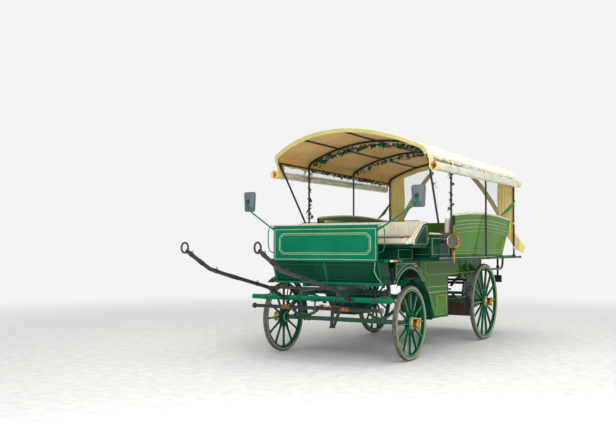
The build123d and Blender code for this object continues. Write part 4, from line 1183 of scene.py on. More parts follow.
# Fittings where the bows meet the posts
canopy_fittings = bmesh.new()
for hand in (-1, 1):
    for back in bow_places[1:]:
        top = eaves_place(back, hand * post_y, 0)
        turned(canopy_fittings, [
            (-0.055, post_bore), (-0.055, 0.0168), (-0.016, 0.0168), (-0.016, post_bore), (-0.055, post_bore),
        ], (top.x, top.y, top.z), (0, 0, 1), 16)
        dome(canopy_fittings, (top.x, top.y + hand * 0.016, top.z - 0.034), (0, hand, 0), 0.006, 0.005, 8)
    clamp = Vector((0.452, hand * 1.038, 2.362))
    lean = Vector((0.616, hand * 0.074, 0.931)).normalized()
    collar(canopy_fittings, clamp, lean, 0.03, post_bore, 0.0178, 16)
    dome(canopy_fittings, clamp + Vector((0, hand * 0.0172, 0)), (0, hand, 0), 0.0065, 0.005, 8)
    for foot_x in (-0.255, -1.555, -2.82):
        turned(canopy_fittings, [
            (0.0, post_bore), (0.0, 0.034), (0.005, 0.034), (0.008, 0.020), (0.030, 0.0165),
            (0.030, post_bore), (0.0, post_bore),
        ], (foot_x, hand * post_y, deck_top), (0, 0, 1), 20)
settle("canopy_fittings", canopy_fittings, black_iron)

# Garland of ivy and small flowers along two bows, the right eaves rail and the posts
dice = random.Random(11)
ivy = bmesh.new()
stems = bmesh.new()
petals = bmesh.new()


def leaf(place, size):
    """One ivy leaf, turned at random."""
    made = bmesh.ops.create_cone(
        ivy, cap_ends=True, segments=5, radius1=size, radius2=size * 0.25, depth=size * 0.22
    )
    turn = Matrix.Rotation(dice.uniform(0, 2 * pi), 4, "Z") @ Matrix.Rotation(dice.uniform(-1.3, 1.3), 4, "X")
    bmesh.ops.transform(
        ivy, verts=made["verts"],
        matrix=Matrix.Translation(place) @ turn @ Matrix.Diagonal((1.0, 1.45, 1.0, 1.0)),
    )


def flower(place, size):
    """Five white petals round a place."""
    tilt = Matrix.Rotation(dice.uniform(-0.9, 0.9), 4, "X") @ Matrix.Rotation(dice.uniform(0.3, 1.5), 4, "Y")
    for petal in range(5):
        angle = 2 * pi * petal / 5
        made = bmesh.ops.create_icosphere(petals, subdivisions=1, radius=size * 0.52)
        spot = Matrix.Translation((cos(angle) * size * 0.6, sin(angle) * size * 0.6, 0))
        bmesh.ops.transform(
            petals, verts=made["verts"],
            matrix=Matrix.Translation(place) @ tilt @ spot @ Matrix.Diagonal((1, 1, 0.35, 1)),
        )


def garland(path, leaves_each_metre, flowers_each_metre, spread):
    """Leaves and flowers scattered about a stem that is wound along a path."""
    path = [Vector(point) for point in path]
    line = []
    for start, end in zip(path, path[1:]):
        run = (end - start).length
        for k in range(max(2, int(run / 0.05))):
            share = k / max(2, int(run / 0.05))
            wave = Vector((sin(len(line) * 1.1), cos(len(line) * 0.9), sin(len(line) * 0.7))) * spread * 0.25
            line.append(start.lerp(end, share) + wave)
        for _ in range(int(run * leaves_each_metre)):
            shift = Vector([dice.gauss(0, spread * 0.5) for _ in range(3)])
            shift.z = min(shift.z, 0.008)
            leaf(start.lerp(end, dice.random()) + shift, dice.uniform(0.015, 0.029))
        for _ in range(int(run * flowers_each_metre)):
            shift = Vector([dice.gauss(0, spread * 0.55) for _ in range(3)])
            shift.z = min(shift.z, 0.0)
            flower(start.lerp(end, dice.random()) + shift, dice.uniform(0.012, 0.019))
    rod(stems, line, 0.0035, sides=1)


def bow_path(back, first, last, below):
    """Places under a bow, between two shares of the way round it."""
    return [
        eaves_place(back, *arch_place(arch_run * (first + (last - first) * k / 14), -below))
        for k in range(15)
    ]


garland(bow_path(0.79, 0.04, 0.93, 0.052), 150, 30, 0.044)
garland(bow_path(2.09, 0.04, 0.88, 0.044), 70, 34, 0.034)
garland([eaves_place(back, -1.030, -0.020) for back in (0.80, 1.3, 1.8, 2.4, 3.0)], 70, 32, 0.030)
garland([(-0.262, -1.036, z) for z in (2.34, 2.05, 1.75, 1.40)], 34, 8, 0.034)
garland([(-0.262, 1.036, z) for z in (2.32, 2.10, 1.78)], 42, 10, 0.030)
garland([(0.17, 1.015, 2.02), (0.24, 1.02, 2.10)], 34, 22, 0.018)
settle("garland_leaves", ivy, ivy_green, smooth=False)
settle("garland_stems", stems, ivy_stem)
settle("garland_flowers", petals, petal_white)

# Driver's front: dash with its lines and cap, toe board, ledges, marker lights and rear lights
dash_lines = bmesh.new()
for half, low, high, cut, wide in (
    (0.682, 1.172, 1.527, 0, 0.010), (0.618, 1.233, 1.478, 0.050, 0.007), (0.600, 1.251, 1.460, 0.043, 0.004),
):
    if cut:
        corners = [
            (-half + cut, low), (half - cut, low), (half, low + cut), (half, high - cut), (half - cut, high),
            (-half + cut, high), (-half, high - cut), (-half, low + cut),
        ]
    else:
        corners = [(-half, low), (half, low), (half, high), (-half, high)]
    coach_line(dash_lines, [(dash_face, y, z) for y, z in corners], (1, 0, 0), wide, closed=True)
settle("dash_lines", dash_lines, line_cream)

dash_frame = bmesh.new()
board(dash_frame, (dash_face - 0.001, -0.700, 1.544), (dash_face + 0.006, 0.700, 1.570))
board(dash_frame, (dash_face - 0.001, -0.700, 1.150), (dash_face + 0.006, 0.700, 1.162))
for hand in (-1, 1):
    board(dash_frame, (dash_face - 0.001, hand * 0.700, 1.150), (dash_face + 0.005, hand * 0.691, 1.570))
settle("dash_frame", dash_frame, green_with_painted_light)
dash_cap = bmesh.new()
board(dash_cap, (1.0942, -0.7070, 1.5702), (1.1342, 0.7070, 1.5856), 0.004, 3)
settle("dash_cap", dash_cap, pale_trim)


def toe_place(share, y, proud=0.0):
    """A place on the toe board's face, up it, across it and in front of it."""
    return Vector((1.023 + 0.096 * share + 0.931 * proud, y, 0.905 + 0.245 * share - 0.365 * proud))


toe_lines = bmesh.new()
for low_y, high_y in ((-0.655, -0.02), (0.02, 0.655)):
    coach_line(toe_lines, [
        toe_place(0.14, low_y), toe_place(0.14, high_y), toe_place(0.84, high_y), toe_place(0.84, low_y),
    ], (0.931, 0, -0.365), 0.0045, closed=True)
settle("toe_board_lines", toe_lines, green_line)
toe_trim = bmesh.new()
board(toe_trim, (1.0325, -0.732, 0.883), (1.0475, 0.732, 0.909), 0.004, 3)
for y in (-0.708, 0.0, 0.708):
    plate(toe_trim, [
        toe_place(0.0, y - 0.010), toe_place(0.0, y + 0.010), toe_place(0.97, y + 0.010),
        toe_place(0.97, y - 0.010),
    ], (0.931 * 0.004, 0, -0.365 * 0.004), 0.0012)
settle("toe_board_trim", toe_trim, green_with_painted_light)
toe_bolts = bmesh.new()
for y in (-0.708, -0.45, -0.2, 0.0, 0.2, 0.45, 0.708):
    for share in (0.06, 0.92):
        dome(toe_bolts, toe_place(share, y, 0.003), (0.931, 0, -0.365), 0.006, 0.0035, 8)
    dome(toe_bolts, (1.0470, y, 0.896), (1, 0, 0), 0.0055, 0.003, 8)
settle("toe_board_bolts", toe_bolts, green_iron)

wire = bmesh.new()
rod(wire, [
    (1.118, 0.668, 1.150), toe_place(0.80, 0.664, 0.006), toe_place(0.62, 0.640, 0.006),
    toe_place(0.38, 0.655, 0.006), toe_place(0.12, 0.690, 0.006), (1.040, 0.715, 0.900),
], 0.0036, 0.03)
settle("lamp_wire", wire, pale_trim)

ledge_trim = bmesh.new()
lenses = {"white": bmesh.new(), "amber": bmesh.new(), "red": bmesh.new()}
housings = bmesh.new()
for hand in (-1, 1):
    board(ledge_trim, (0.650, hand * 0.780, 1.1465), (1.106, hand * 0.7870, 1.1745), 0.002)
    board(ledge_trim, (0.650, hand * 0.692, 1.1705), (1.106, hand * 0.7865, 1.1750), 0.0015)
    board(housings, (0.813, hand * 0.785, 1.1425), (1.007, hand * 0.8035, 1.1735), 0.003)
    board(lenses["white"], (0.916, hand * 0.790, 1.1465), (1.002, hand * 0.8075, 1.1690), 0.005, 3)
    board(lenses["amber"], (0.818, hand * 0.790, 1.1465), (0.904, hand * 0.8075, 1.1690), 0.005, 3)
    for y, tint, radius in ((0.688, "amber", 0.019), (0.738, "red", 0.026)):
        turned(lenses[tint], [
            (0.0, radius), (0.006, radius), (0.010, radius * 0.85), (0.0125, radius * 0.45), (0.013, 0),
        ], (-3.080, hand * y, 0.825), (-1, 0, 0), 24)
    turned(lenses["white"], [
        (0.0, 0.022), (0.004, 0.022), (0.009, 0.017), (0.011, 0.008), (0.0115, 0),
    ], (-3.0450, hand * 0.715, 1.010), (-1, 0, 0), 20)
    turned(housings, [
        (-0.0010, 0.0), (-0.0010, 0.027), (0.006, 0.027), (0.006, 0.0),
    ], (-3.0445, hand * 0.715, 1.010), (-1, 0, 0), 20)
settle("ledge_trim", ledge_trim, green_with_painted_light)
settle("marker_housings", housings, black_iron)
settle("white_lenses", lenses["white"], white_lens)
settle("amber_lenses", lenses["amber"], amber_lens)
settle("red_lenses", lenses["red"], red_lens)

# Mirrors and grab loops at the dash
for hand, side in ((1, "left"), (-1, "right")):
    y = hand * 1.15
    head = bmesh.new()
    for deep, wide, high, middle in ((0.0168, 0.169, 0.249, 0.9946), (0.042, 0.160, 0.240, 0.0)):
        made = bmesh.ops.create_cube(head, size=1)
        bmesh.ops.scale(head, vec=(deep, wide, high), verts=made["verts"])
        long_edges = [
            edge for edge in {edge for vert in made["verts"] for edge in vert.link_edges}
            if abs(edge.verts[0].co.x - edge.verts[1].co.x) > 0.001
        ]
        if middle:
            bmesh.ops.translate(head, vec=(middle, y, mirror_z), verts=made["verts"])
            bmesh.ops.bevel(head, geom=long_edges, offset=0.028, affect="EDGES", segments=6, profile=0.5,
                            material=-1)
    front_verts = [vert for vert in made["verts"] if vert.co.x > 0]
    bmesh.ops.scale(head, vec=(1, 0.45, 0.50), verts=front_verts)
    bmesh.ops.translate(head, vec=(1.0225, y, mirror_z), verts=made["verts"])
    edges = list({edge for vert in made["verts"] for edge in vert.link_edges})
    bmesh.ops.bevel(head, geom=edges, offset=0.009, affect="EDGES", segments=3, profile=0.5, material=-1)
    low_verts = [vert for vert in head.verts if vert.co.z < 1.80]
    for vert in low_verts:
        vert.co.y = y + (vert.co.y - y) * 0.90
    head_piece = settle(f"mirror_case_{side}", head, mirror_case)
    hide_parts("mirror_heads")
    pane = bmesh.new()
    board(pane, (0.9850, y - 0.070, 1.778), (0.9868, y + 0.070, 1.994), 0.0006, 1)
    settle(f"mirror_glass_{side}", pane, mirror_face)
    clamps = bmesh.new()
    board(clamps, (1.0400, y - 0.024, 1.862), (1.0500, y + 0.024, 1.908), 0.002)
    for height in (1.872, 1.898):
        collar(clamps, (1.054, y, height), (0, 0, 1), 0.005, 0.0092, 0.0125, 16)
    settle(f"mirror_clamp_{side}", clamps, black_iron)
    loop = bmesh.new()
    rod(loop, [
        (1.112, hand * 0.699, 1.530), (1.112, hand * 0.770, 1.562), (1.112, hand * 0.789, 1.500),
        (1.112, hand * 0.787, 1.330), (1.112, hand * 0.768, 1.262), (1.112, hand * 0.699, 1.250),
    ], 0.0065, 0.035)
    for height in (1.530, 1.250):
        turned(loop, [(0, 0), (0, 0.017), (0.004, 0.017), (0.006, 0.010), (0.006, 0)],
               (1.112, hand * 0.700, height), (0, hand, 0), 16)
    settle(f"grab_loop_{side}", loop, green_with_painted_light)
    knob = bmesh.new()
    rod(knob, [
        (1.106, hand * 0.690, 1.505), (1.120, hand * 0.712, 1.548), (1.118, hand * 0.742, 1.583),
    ], 0.0050, 0.015)
    settle(f"grab_bracket_{side}", knob, bright_steel)

# Driver's seat: piping and capping
for hand, side in ((1, "left"), (-1, "right")):
    cream_edge = bmesh.new()
    top_edge = [(0.200, 1.612), (0.345, 1.582), (0.588, 1.396), (0.590, 1.340)]
    rod(cream_edge, [(x, hand * 0.908, z + 0.004) for x, z in top_edge], 0.0115, 0.03, sides=3)
    settle(f"seat_end_capping_{side}", cream_edge, cream_vinyl)
    dark_edge = bmesh.new()
    rod(dark_edge, [(x, hand * 0.9195, z - 0.004) for x, z in top_edge], 0.0042, 0.03)
    settle(f"seat_end_piping_{side}", dark_edge, piping_black)
seat_back_cap = bmesh.new()
rod(seat_back_cap, [(0.206, -0.915, 1.614), (0.206, 0.915, 1.614)], 0.0120, sides=3)
settle("seat_back_capping", seat_back_cap, cream_vinyl)
seat_lines = bmesh.new()
coach_line(seat_lines, [(0.1945, y, z) for y, z in (
    (-0.87, 1.365), (0.87, 1.365), (0.87, 1.575), (-0.87, 1.575))], (-1, 0, 0), 0.006, closed=True)
for hand in (-1, 1):
    coach_line(seat_lines, [
        (x, hand * 0.9205, z) for x, z in (
            (0.222, 1.352), (0.560, 1.352), (0.560, 1.385), (0.335, 1.552), (0.222, 1.575))
    ], (0, hand, 0), 0.005, closed=True)
    coach_line(seat_lines, [
        (x, hand * 0.7305, z) for x, z in ((0.235, 1.175), (0.625, 1.175), (0.625, 1.285), (0.235, 1.285))
    ], (0, hand, 0), 0.005, closed=True)
settle("seat_lines", seat_lines, line_cream)
seat_piping = bmesh.new()
for z in (1.352, 1.424):
    rod(seat_piping, [(0.690, -0.835, z), (0.690, 0.835, z)], 0.0042)
rod(seat_piping, [(0.262, -0.838, 1.6365), (0.262, 0.838, 1.6365)], 0.0042)
settle("seat_piping", seat_piping, piping_black)

# Lower sides: cream lines, the arch's border, beads, and the locker doors with their handles


def arc_points(radius, start, end, y, steps=40):
    """Points of an arc about the wheel arch's middle."""
    return [
        (0.345 + radius * cos(radians(start + (end - start) * k / steps)), y,
         0.570 + radius * sin(radians(start + (end - start) * k / steps)))
        for k in range(steps + 1)
    ]


for hand, side in ((1, "left"), (-1, "right")):
    y = hand * 0.75
    out = (0, hand, 0)
    side_lines = bmesh.new()
    coach_line(side_lines, arc_points(0.500, 39.5, 139.5, y), out, 0.0070)
    coach_line(side_lines, arc_points(0.548, 36.5, 143.0, y), out, 0.0045)
    coach_line(side_lines, [
        (x, y, z) for x, z in (
            (-2.085, 0.965), (-0.205, 0.965), (-0.115, 1.000), (-0.115, 1.118), (-2.085, 1.118))
    ], out, 0.0060, closed=True)
    coach_line(side_lines, [(-0.845, y, 0.800), (-0.185, y, 0.815)], out, 0.0075)
    coach_line(side_lines, [(-0.845, y, 0.735), (-0.225, y, 0.742)], out, 0.0075)
    coach_line(side_lines, [(-0.452, y, 0.455), (-0.235, y, 0.735)], out, 0.0050)
    coach_line(side_lines, [(0.180, y, 1.118), (0.725, y, 1.118), (0.725, y, 0.985)], out, 0.0050)
    settle(f"side_lines_{side}", side_lines, line_cream)

    beads = bmesh.new()
    rod(beads, arc_points(0.4815, 41.5, 137.5, y), 0.0065)
    rod(beads, [(0.066, y, 1.060), (0.066, y, 1.149)], 0.0060)
    rod(beads, [(0.754, y, 0.888), (0.754, y, 1.149)], 0.0055)
    rod(beads, [(-2.124, y, 0.933), (-2.124, y, 1.149)], 0.0055)
    rod(beads, [(-2.120, y, 0.9325), (-0.868, y, 0.9325)], 0.0055)
    rod(beads, [
        (-0.8640, y, 0.930), (-0.8640, y, 0.402), (-0.406, y, 0.420), (-0.136, y, 0.779),
    ], 0.0055, 0.01)
    settle(f"side_beads_{side}", beads, deep_green)
    badge = bmesh.new()
    board(badge, (0.135, hand * 0.7497, 1.078), (0.215, hand * 0.7535, 1.104), 0.0015)
    settle(f"blank_plate_{side}", badge, brass_metal)

    door = f"locker_door_{side}"
    door_lines = bmesh.new()
    coach_line(door_lines, [(x, y, z) for x, z in (
        (-0.820, 0.445), (-0.490, 0.445), (-0.490, 0.690), (-0.820, 0.690))], out, 0.0055, closed=True)
    settle(f"locker_door_lines_{side}", door_lines, line_cream, door)
    handle = bmesh.new()
    turned(handle, [
        (-0.045, 0), (-0.045, 0.006), (-0.042, 0.0088), (-0.036, 0.0088), (-0.030, 0.0062), (-0.012, 0.0076),
        (0.012, 0.0076), (0.030, 0.0062), (0.036, 0.0088), (0.042, 0.0088), (0.045, 0.006), (0.045, 0),
    ], (-0.655, hand * 0.784, 0.670), (1, 0, 0), 20)
    for x in (-0.683, -0.627):
        turned(handle, [(0, 0), (0, 0.013), (0.003, 0.013), (0.005, 0.006), (0.030, 0.0055), (0.030, 0)],
               (x, hand * 0.7502, 0.670), out, 16)
    board(handle, (-0.703, hand * 0.7500, 0.655), (-0.607, hand * 0.7525, 0.685), 0.001)
    handle_piece = settle(f"locker_pull_{side}", handle, brass_metal, door)
    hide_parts(f"locker_handle_{side}")
    hinge_bolts = bmesh.new()
    for x in (-0.769, -0.541):
        for shift in (-0.012, 0.012):
            dome(hinge_bolts, (x + shift, hand * 0.755, 0.465), out, 0.0042, 0.003, 8)
    settle(f"locker_door_screws_{side}", hinge_bolts, green_iron, door)

    # Deck edge, rail ends
    deck_lines = bmesh.new()
    coach_line(deck_lines, [(-1.620, hand * 1.060, 1.183), (0.182, hand * 1.060, 1.183)], out, 0.0060)
    coach_line(deck_lines, [(-3.130, hand * 0.960, 1.183), (-1.630, hand * 0.960, 1.183)], out, 0.0060)
    settle(f"deck_lines_{side}", deck_lines, line_cream)
    rail_ends = bmesh.new()
    for x, way in ((-1.6265, 1), (-3.134, -1)):
        collar(rail_ends, (x - way * 0.006, hand * 1.045, 1.165), (1, 0, 0), 0.004, 0.0153, 0.020, 20)
    for x in (-2.82, -2.265):
        dome(rail_ends, (x, hand * 1.0602, 1.170), out, 0.008, 0.005, 10)
        for shift in (-0.017, 0.017):
            dome(rail_ends, (x + shift, hand * 1.0602, 1.170), out, 0.0045, 0.003, 8)
    settle(f"rail_ends_{side}", rail_ends, green_iron)

    # Low side: frame line and a pad along its top edge
    low_lines = bmesh.new()
    coach_line(low_lines, [(x, hand * 0.955, z) for x, z in (
        (-0.395, 1.228), (0.150, 1.228), (0.150, 1.423), (-0.395, 1.423))], out, 0.0060, closed=True)
    settle(f"low_side_lines_{side}", low_lines, line_cream)
    low_pad = bmesh.new()
    rod(low_pad, [(-0.424, hand * 0.9385, 1.477), (0.182, hand * 0.9385, 1.477)], 0.0150, sides=4)
    settle(f"low_side_capping_{side}", low_pad, cream_vinyl)

# Benches: a lined board across each front end
bench_ends = bmesh.new()
bench_end_lines = bmesh.new()
for hand in (-1, 1):
    board(bench_ends, (0.0755, hand * 0.431, 1.1905), (0.0875, hand * 0.930, 1.3495), 0.002)
    coach_line(bench_end_lines, [(0.0875, hand * y, z) for y, z in (
        (0.47, 1.225), (0.89, 1.225), (0.89, 1.315), (0.47, 1.315))], (1, 0, 0), 0.0050, closed=True)
settle("bench_front_panels", bench_ends, deep_green)
settle("bench_front_lines", bench_end_lines, line_cream)

# Tall sides: lines that follow the crown, a pad along the top edge, dark corner strips


def crown(x):
    """Height of the tall side's top edge."""
    return 1.775 - 0.055 * ((x + 1.5825) / 1.1525) ** 2


def tall_face(x, z, hand, proud=0.0):
    """A place on the tall side's flared outer face."""
    return Vector((x, hand * (0.955 + 0.1111 * (z - 1.19) + proud), z))


def rear_edge(z):
    """The X of the tall side's raked rear edge at a height."""
    return -2.515 - 0.4151 * (z - 1.19)


for hand, side in ((1, "left"), (-1, "right")):
    face_normal = Vector((0, hand, -0.1111)).normalized()
    tall_lines = bmesh.new()
    front_x = -0.485
    for drop, inset, wide in ((0.088, 0.055, 0.0065), (0.135, 0.105, 0.0050), (0.182, 0.105, 0.0050)):
        rear_x = rear_edge(1.69) + inset
        steps = 24
        run = [
            front_x - (inset - 0.055) + (rear_x - front_x + (inset - 0.055)) * k / steps
            for k in range(steps + 1)
        ]
        top = [tall_face(x, crown(x) - drop, hand) for x in run]
        if inset < 0.1:
            low = [tall_face(rear_edge(1.235) + inset, 1.235, hand), tall_face(front_x, 1.235, hand)]
            coach_line(tall_lines, top + low, face_normal, wide, closed=True)
        else:
            coach_line(tall_lines, top, face_normal, wide)
    inner = [
        tall_face(x, z, hand) for x, z in (
            (front_x - 0.05, 1.275), (front_x - 0.05, crown(front_x) - 0.225),
            (-1.58, crown(-1.58) - 0.225), (rear_edge(1.5) + 0.10, crown(-2.5) - 0.225),
            (rear_edge(1.275) + 0.10, 1.275),
        )
    ]
    coach_line(tall_lines, inner, face_normal, 0.0040, closed=True)
    settle(f"tall_side_lines_{side}", tall_lines, line_cream)
    edges = bmesh.new()
    rod(edges, [tall_face(-0.4320, z, hand, -0.012) for z in (1.192, 1.718)], 0.0128, sides=3)
    rod(edges, [tall_face(rear_edge(z) - 0.002, z, hand, -0.012) for z in (1.195, 1.716)], 0.0128, sides=3)
    board(edges, (-0.425, hand * 1.0020, 1.600), (-0.470, hand * 1.0160, 1.712), 0.003)
    settle(f"tall_side_edges_{side}", edges, deep_green)
    roll = bmesh.new()
    rod(roll, [
        tall_face(x, crown(x) + 0.003, hand, -0.0130)
        for x in [-0.442 - 2.285 * k / 40 for k in range(41)]
    ], 0.0160, sides=4)
    settle(f"tall_side_capping_{side}", roll, cream_vinyl)
    tacks = bmesh.new()
    for k in range(38):
        x = -0.47 - 2.22 * k / 37
        dome(tacks, tall_face(x, crown(x) - 0.018, hand), face_normal, 0.0036, 0.0022, 6)
    settle(f"tall_side_tacks_{side}", tacks, brass_metal)

# Rear wall and door: lines, knob and hinge screws
wall_lines = bmesh.new()
for hand in (-1, 1):
    coach_line(wall_lines, [(-2.365, hand * y, z) for y, z in (
        (0.435, 1.240), (0.895, 1.240), (0.935, 1.640), (0.435, 1.640))], (-1, 0, 0), 0.0055, closed=True)
settle("rear_wall_lines", wall_lines, line_cream)
wall_cap = bmesh.new()
for hand in (-1, 1):
    rod(wall_cap, [(-2.353, hand * 0.405, 1.694), (-2.353, hand * 0.975, 1.694)], 0.0150, sides=3)
settle("rear_wall_capping", wall_cap, cream_vinyl)
door_lines = bmesh.new()
for low, high in ((1.000, 1.285), (1.335, 1.645)):
    coach_line(door_lines, [(-2.365, y, z) for y, z in (
        (-0.335, low), (0.335, low), (0.335, high), (-0.335, high))], (-1, 0, 0), 0.0055, closed=True)
settle("rear_door_lines", door_lines, line_cream, "rear_door")
knob = bmesh.new()
turned(knob, [
    (0.0, 0.0), (0.0, 0.026), (0.003, 0.026), (0.005, 0.011), (0.020, 0.009), (0.026, 0.017), (0.034, 0.0195),
    (0.042, 0.016), (0.045, 0.0),
], (-2.3652, 0.345, 1.310), (-1, 0, 0), 24)
settle("rear_door_knob", knob, brass_metal, "rear_door")
screws = bmesh.new()
for z in (1.30, 1.58):
    for y in (-0.345, -0.320):
        for lift in (-0.012, 0.012):
            dome(screws, (-2.3712, y, z + lift), (-1, 0, 0), 0.0038, 0.0025, 8)
settle("rear_door_screws", screws, green_iron, "rear_door")

# Steps: worn boards with steel nosings, and the board under the floor
treads = bmesh.new()
nosings = bmesh.new()
for step in range(3):
    rear = -3.135 + step * 0.25667
    top = 0.440 + step * 0.170
    for plank in range(2):
        board(treads, (rear + 0.006 + plank * 0.124, -0.396, top - 0.0005),
              (rear + 0.126 + plank * 0.124, 0.396, top + 0.0065), 0.002)
    board(nosings, (rear - 0.0025, -0.398, top - 0.020), (rear + 0.0015, 0.398, top + 0.008), 0.0008)
    for y in (-0.34, -0.17, 0.0, 0.17, 0.34):
        dome(nosings, (rear - 0.0024, y, top - 0.008), (-1, 0, 0), 0.005, 0.003, 8)
settle("step_treads", treads, step_brown)
settle("step_nosings", nosings, bright_steel)
battens = bmesh.new()
for y in (-0.52, -0.05, 0.42):
    board(battens, (-2.2655, y, 0.300), (-2.2535, y + 0.06, 0.580), 0.002)
for z in (0.388, 0.486):
    board(battens, (-2.2655, -0.598, z), (-2.2635, 0.598, z + 0.004), 0.0006)
settle("step_board_battens", battens, step_brown)
step_bolts = bmesh.new()
for hand in (-1, 1):
    for x, z in ((-2.42, 1.10), (-2.75, 1.10), (-3.08, 1.10), (-2.45, 0.62), (-2.40, 0.42)):
        dome(step_bolts, (x, hand * 0.4202, z), (0, hand, 0), 0.009, 0.006, 8)
settle("step_bolts", step_bolts, green_iron)

# Carriage lamps: brass bezel with a dark glass over a reflector, a flat crown and a turned stem


def octagon(x, y, z, scale):
    """Corners of the lamp's face, round its middle."""
    wide = 0.0775 * scale
    high = 0.090 * scale
    cut = 0.048 * scale
    return [
        Vector((x, y + b, z + c)) for b, c in (
            (wide, -high + cut), (wide, high - cut), (wide - cut, high), (-wide + cut, high),
            (-wide, high - cut), (-wide, -high + cut), (-wide + cut, -high), (wide - cut, -high),
        )
    ]


def ring_of(form, loops):
    """Joins closed outlines one to the next, the last to the first."""
    made = []
    for outline in loops:
        verts = [form.verts.new(place) for place in outline]
        made.append([form.edges.new(pair) for pair in zip(verts, verts[1:] + verts[:1])])
    for one, other in zip(made, made[1:] + made[:1]):
        bmesh.ops.bridge_loops(form, edges=one + other)


for hand, side in ((1, "left"), (-1, "right")):
    y, z = hand * 1.115, 1.390
    case = bmesh.new()
    plate(case, octagon(-0.1965, y, z, 0.97), (0.006, 0, 0))
    ring_of(case, [
        octagon(-0.1905, y, z, 0.97), octagon(-0.1150, y, z, 0.94), octagon(-0.1150, y, z, 0.86),
        octagon(-0.1905, y, z, 0.88),
    ])
    case_piece = settle(f"lamp_case_{side}", case, dark_brass, smooth=False)
    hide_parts("carriage_lamps")
    bezel = bmesh.new()
    ring_of(bezel, [
        octagon(-0.1150, y, z, 1.0), octagon(-0.1085, y, z, 0.985), octagon(-0.1055, y, z, 0.90),
        octagon(-0.1085, y, z, 0.78), octagon(-0.1150, y, z, 0.76),
    ])
    settle(f"lamp_bezel_{side}", bezel, brass_metal, smooth=False)
    bowl = bmesh.new()
    turned(bowl, [
        (0.004, 0.0), (0.004, 0.020), (0.014, 0.042), (0.030, 0.058), (0.032, 0.058), (0.012, 0.044),
        (0.002, 0.021), (0.0015, 0.0),
    ], (-0.172, y, z), (1, 0, 0), 32)
    turned(bowl, [(0.006, 0), (0.006, 0.006), (0.022, 0.010), (0.030, 0.006), (0.032, 0)],
           (-0.172, y, z), (1, 0, 0), 16)
    settle(f"lamp_reflector_{side}", bowl, reflector_silver)
    pane = bmesh.new()
    plate(pane, octagon(-0.1135, y, z, 0.83), (0.0025, 0, 0))
    settle(f"lamp_glass_{side}", pane, lamp_glass, smooth=False)
    crown_form = bmesh.new()
    turned(crown_form, [
        (0.086, 0.0), (0.086, 0.024), (0.102, 0.022), (0.104, 0.046), (0.108, 0.0485), (0.114, 0.046),
        (0.119, 0.030), (0.121, 0.012), (0.122, 0.0),
    ], (lamp_stem_x, y, z), (0, 0, 1), 32)
    settle(f"lamp_crown_{side}", crown_form, dark_brass)
    stem = bmesh.new()
    turned(stem, [
        (0.118, 0.0), (0.118, 0.0125), (0.126, 0.0130), (0.132, 0.0100), (0.150, 0.0115), (0.190, 0.0125),
        (0.210, 0.0095), (0.216, 0.0130), (0.224, 0.0130), (0.230, 0.0085), (0.262, 0.0075), (0.277, 0.0030),
        (0.280, 0.0),
    ], (lamp_stem_x, y, z), (0, 0, -1), 24)
    settle(f"lamp_stem_{side}", stem, brass_metal)
    joint = bmesh.new()
    turned(joint, [
        (0.086, 0.0), (0.086, 0.026), (0.094, 0.026), (0.098, 0.016), (0.118, 0.0165), (0.120, 0.0),
    ], (lamp_stem_x, y, z), (0, 0, -1), 24)
    board(joint, (-0.167, hand * 0.955, 1.362), (-0.137, hand * 1.040, 1.400), 0.003)
    board(joint, (-0.185, hand * 0.9545, 1.335), (-0.119, hand * 0.9605, 1.425), 0.002)
    settle(f"lamp_bracket_{side}", joint, black_iron)
    bits = bmesh.new()
    for x, height in ((-0.175, 1.345), (-0.129, 1.345), (-0.175, 1.415), (-0.129, 1.415)):
        dome(bits, (x, hand * 0.9605, height), (0, hand, 0), 0.0065, 0.004, 8)
    rod(bits, [
        (-0.152, hand * 0.985, 1.400), (-0.160, hand * 0.990, 1.432), (-0.152, hand * 1.000, 1.462),
    ], 0.0050, 0.01)
    settle(f"lamp_bracket_bolts_{side}", bits, bright_steel)

# Fore-carriage ironwork: splinter bar tube, clamps, the hanging strut, guards and axle clips
tube_skin = bmesh.new()
turned(tube_skin, [
    (-0.930, 0.0), (-0.930, 0.0270), (-0.927, 0.0290), (-0.801, 0.0290), (-0.799, 0.0306), (0.799, 0.0306),
    (0.801, 0.0290), (0.927, 0.0290), (0.930, 0.0270), (0.930, 0.0),
], (tube_x, 0, tube_z), (0, 1, 0), 32)
settle("splinter_tube", tube_skin, green_with_painted_light, "fore_carriage")
tube_fittings = bmesh.new()
for y in (-0.72, -0.25, 0.25, 0.72):
    collar(tube_fittings, (tube_x, y, tube_z), (0, 1, 0), 0.024, 0.0308, 0.0350, 28)
    dome(tube_fittings, (1.2595, y, tube_z), (1, 0, 0), 0.008, 0.005, 8)
for hand in (-1, 1):
    for edge in (-1, 1):
        place = hand * 0.44 + edge * 0.0355
        dome(tube_fittings, (1.285, place, tube_z), (0, edge, 0), 0.015, 0.009, 6)
settle("splinter_clamps", tube_fittings, green_iron, "fore_carriage")

strut = bmesh.new()
for top_y, low_y in ((0.195, 0.132), (0.318, 0.160)):
    plate(strut, [
        (1.236, top_y - 0.027, 0.694), (1.236, top_y + 0.027, 0.694), (1.172, low_y + 0.018, 0.392),
        (1.172, low_y - 0.018, 0.392),
    ], (-0.009, 0, 0.002), 0.0015)
board(strut, (1.158, 0.108, 0.384), (1.180, 0.182, 0.404), 0.003)
dome(strut, (1.180, 0.145, 0.394), (1, 0, 0), 0.009, 0.006, 6)
settle("hanging_strut", strut, black_iron, "fore_carriage")

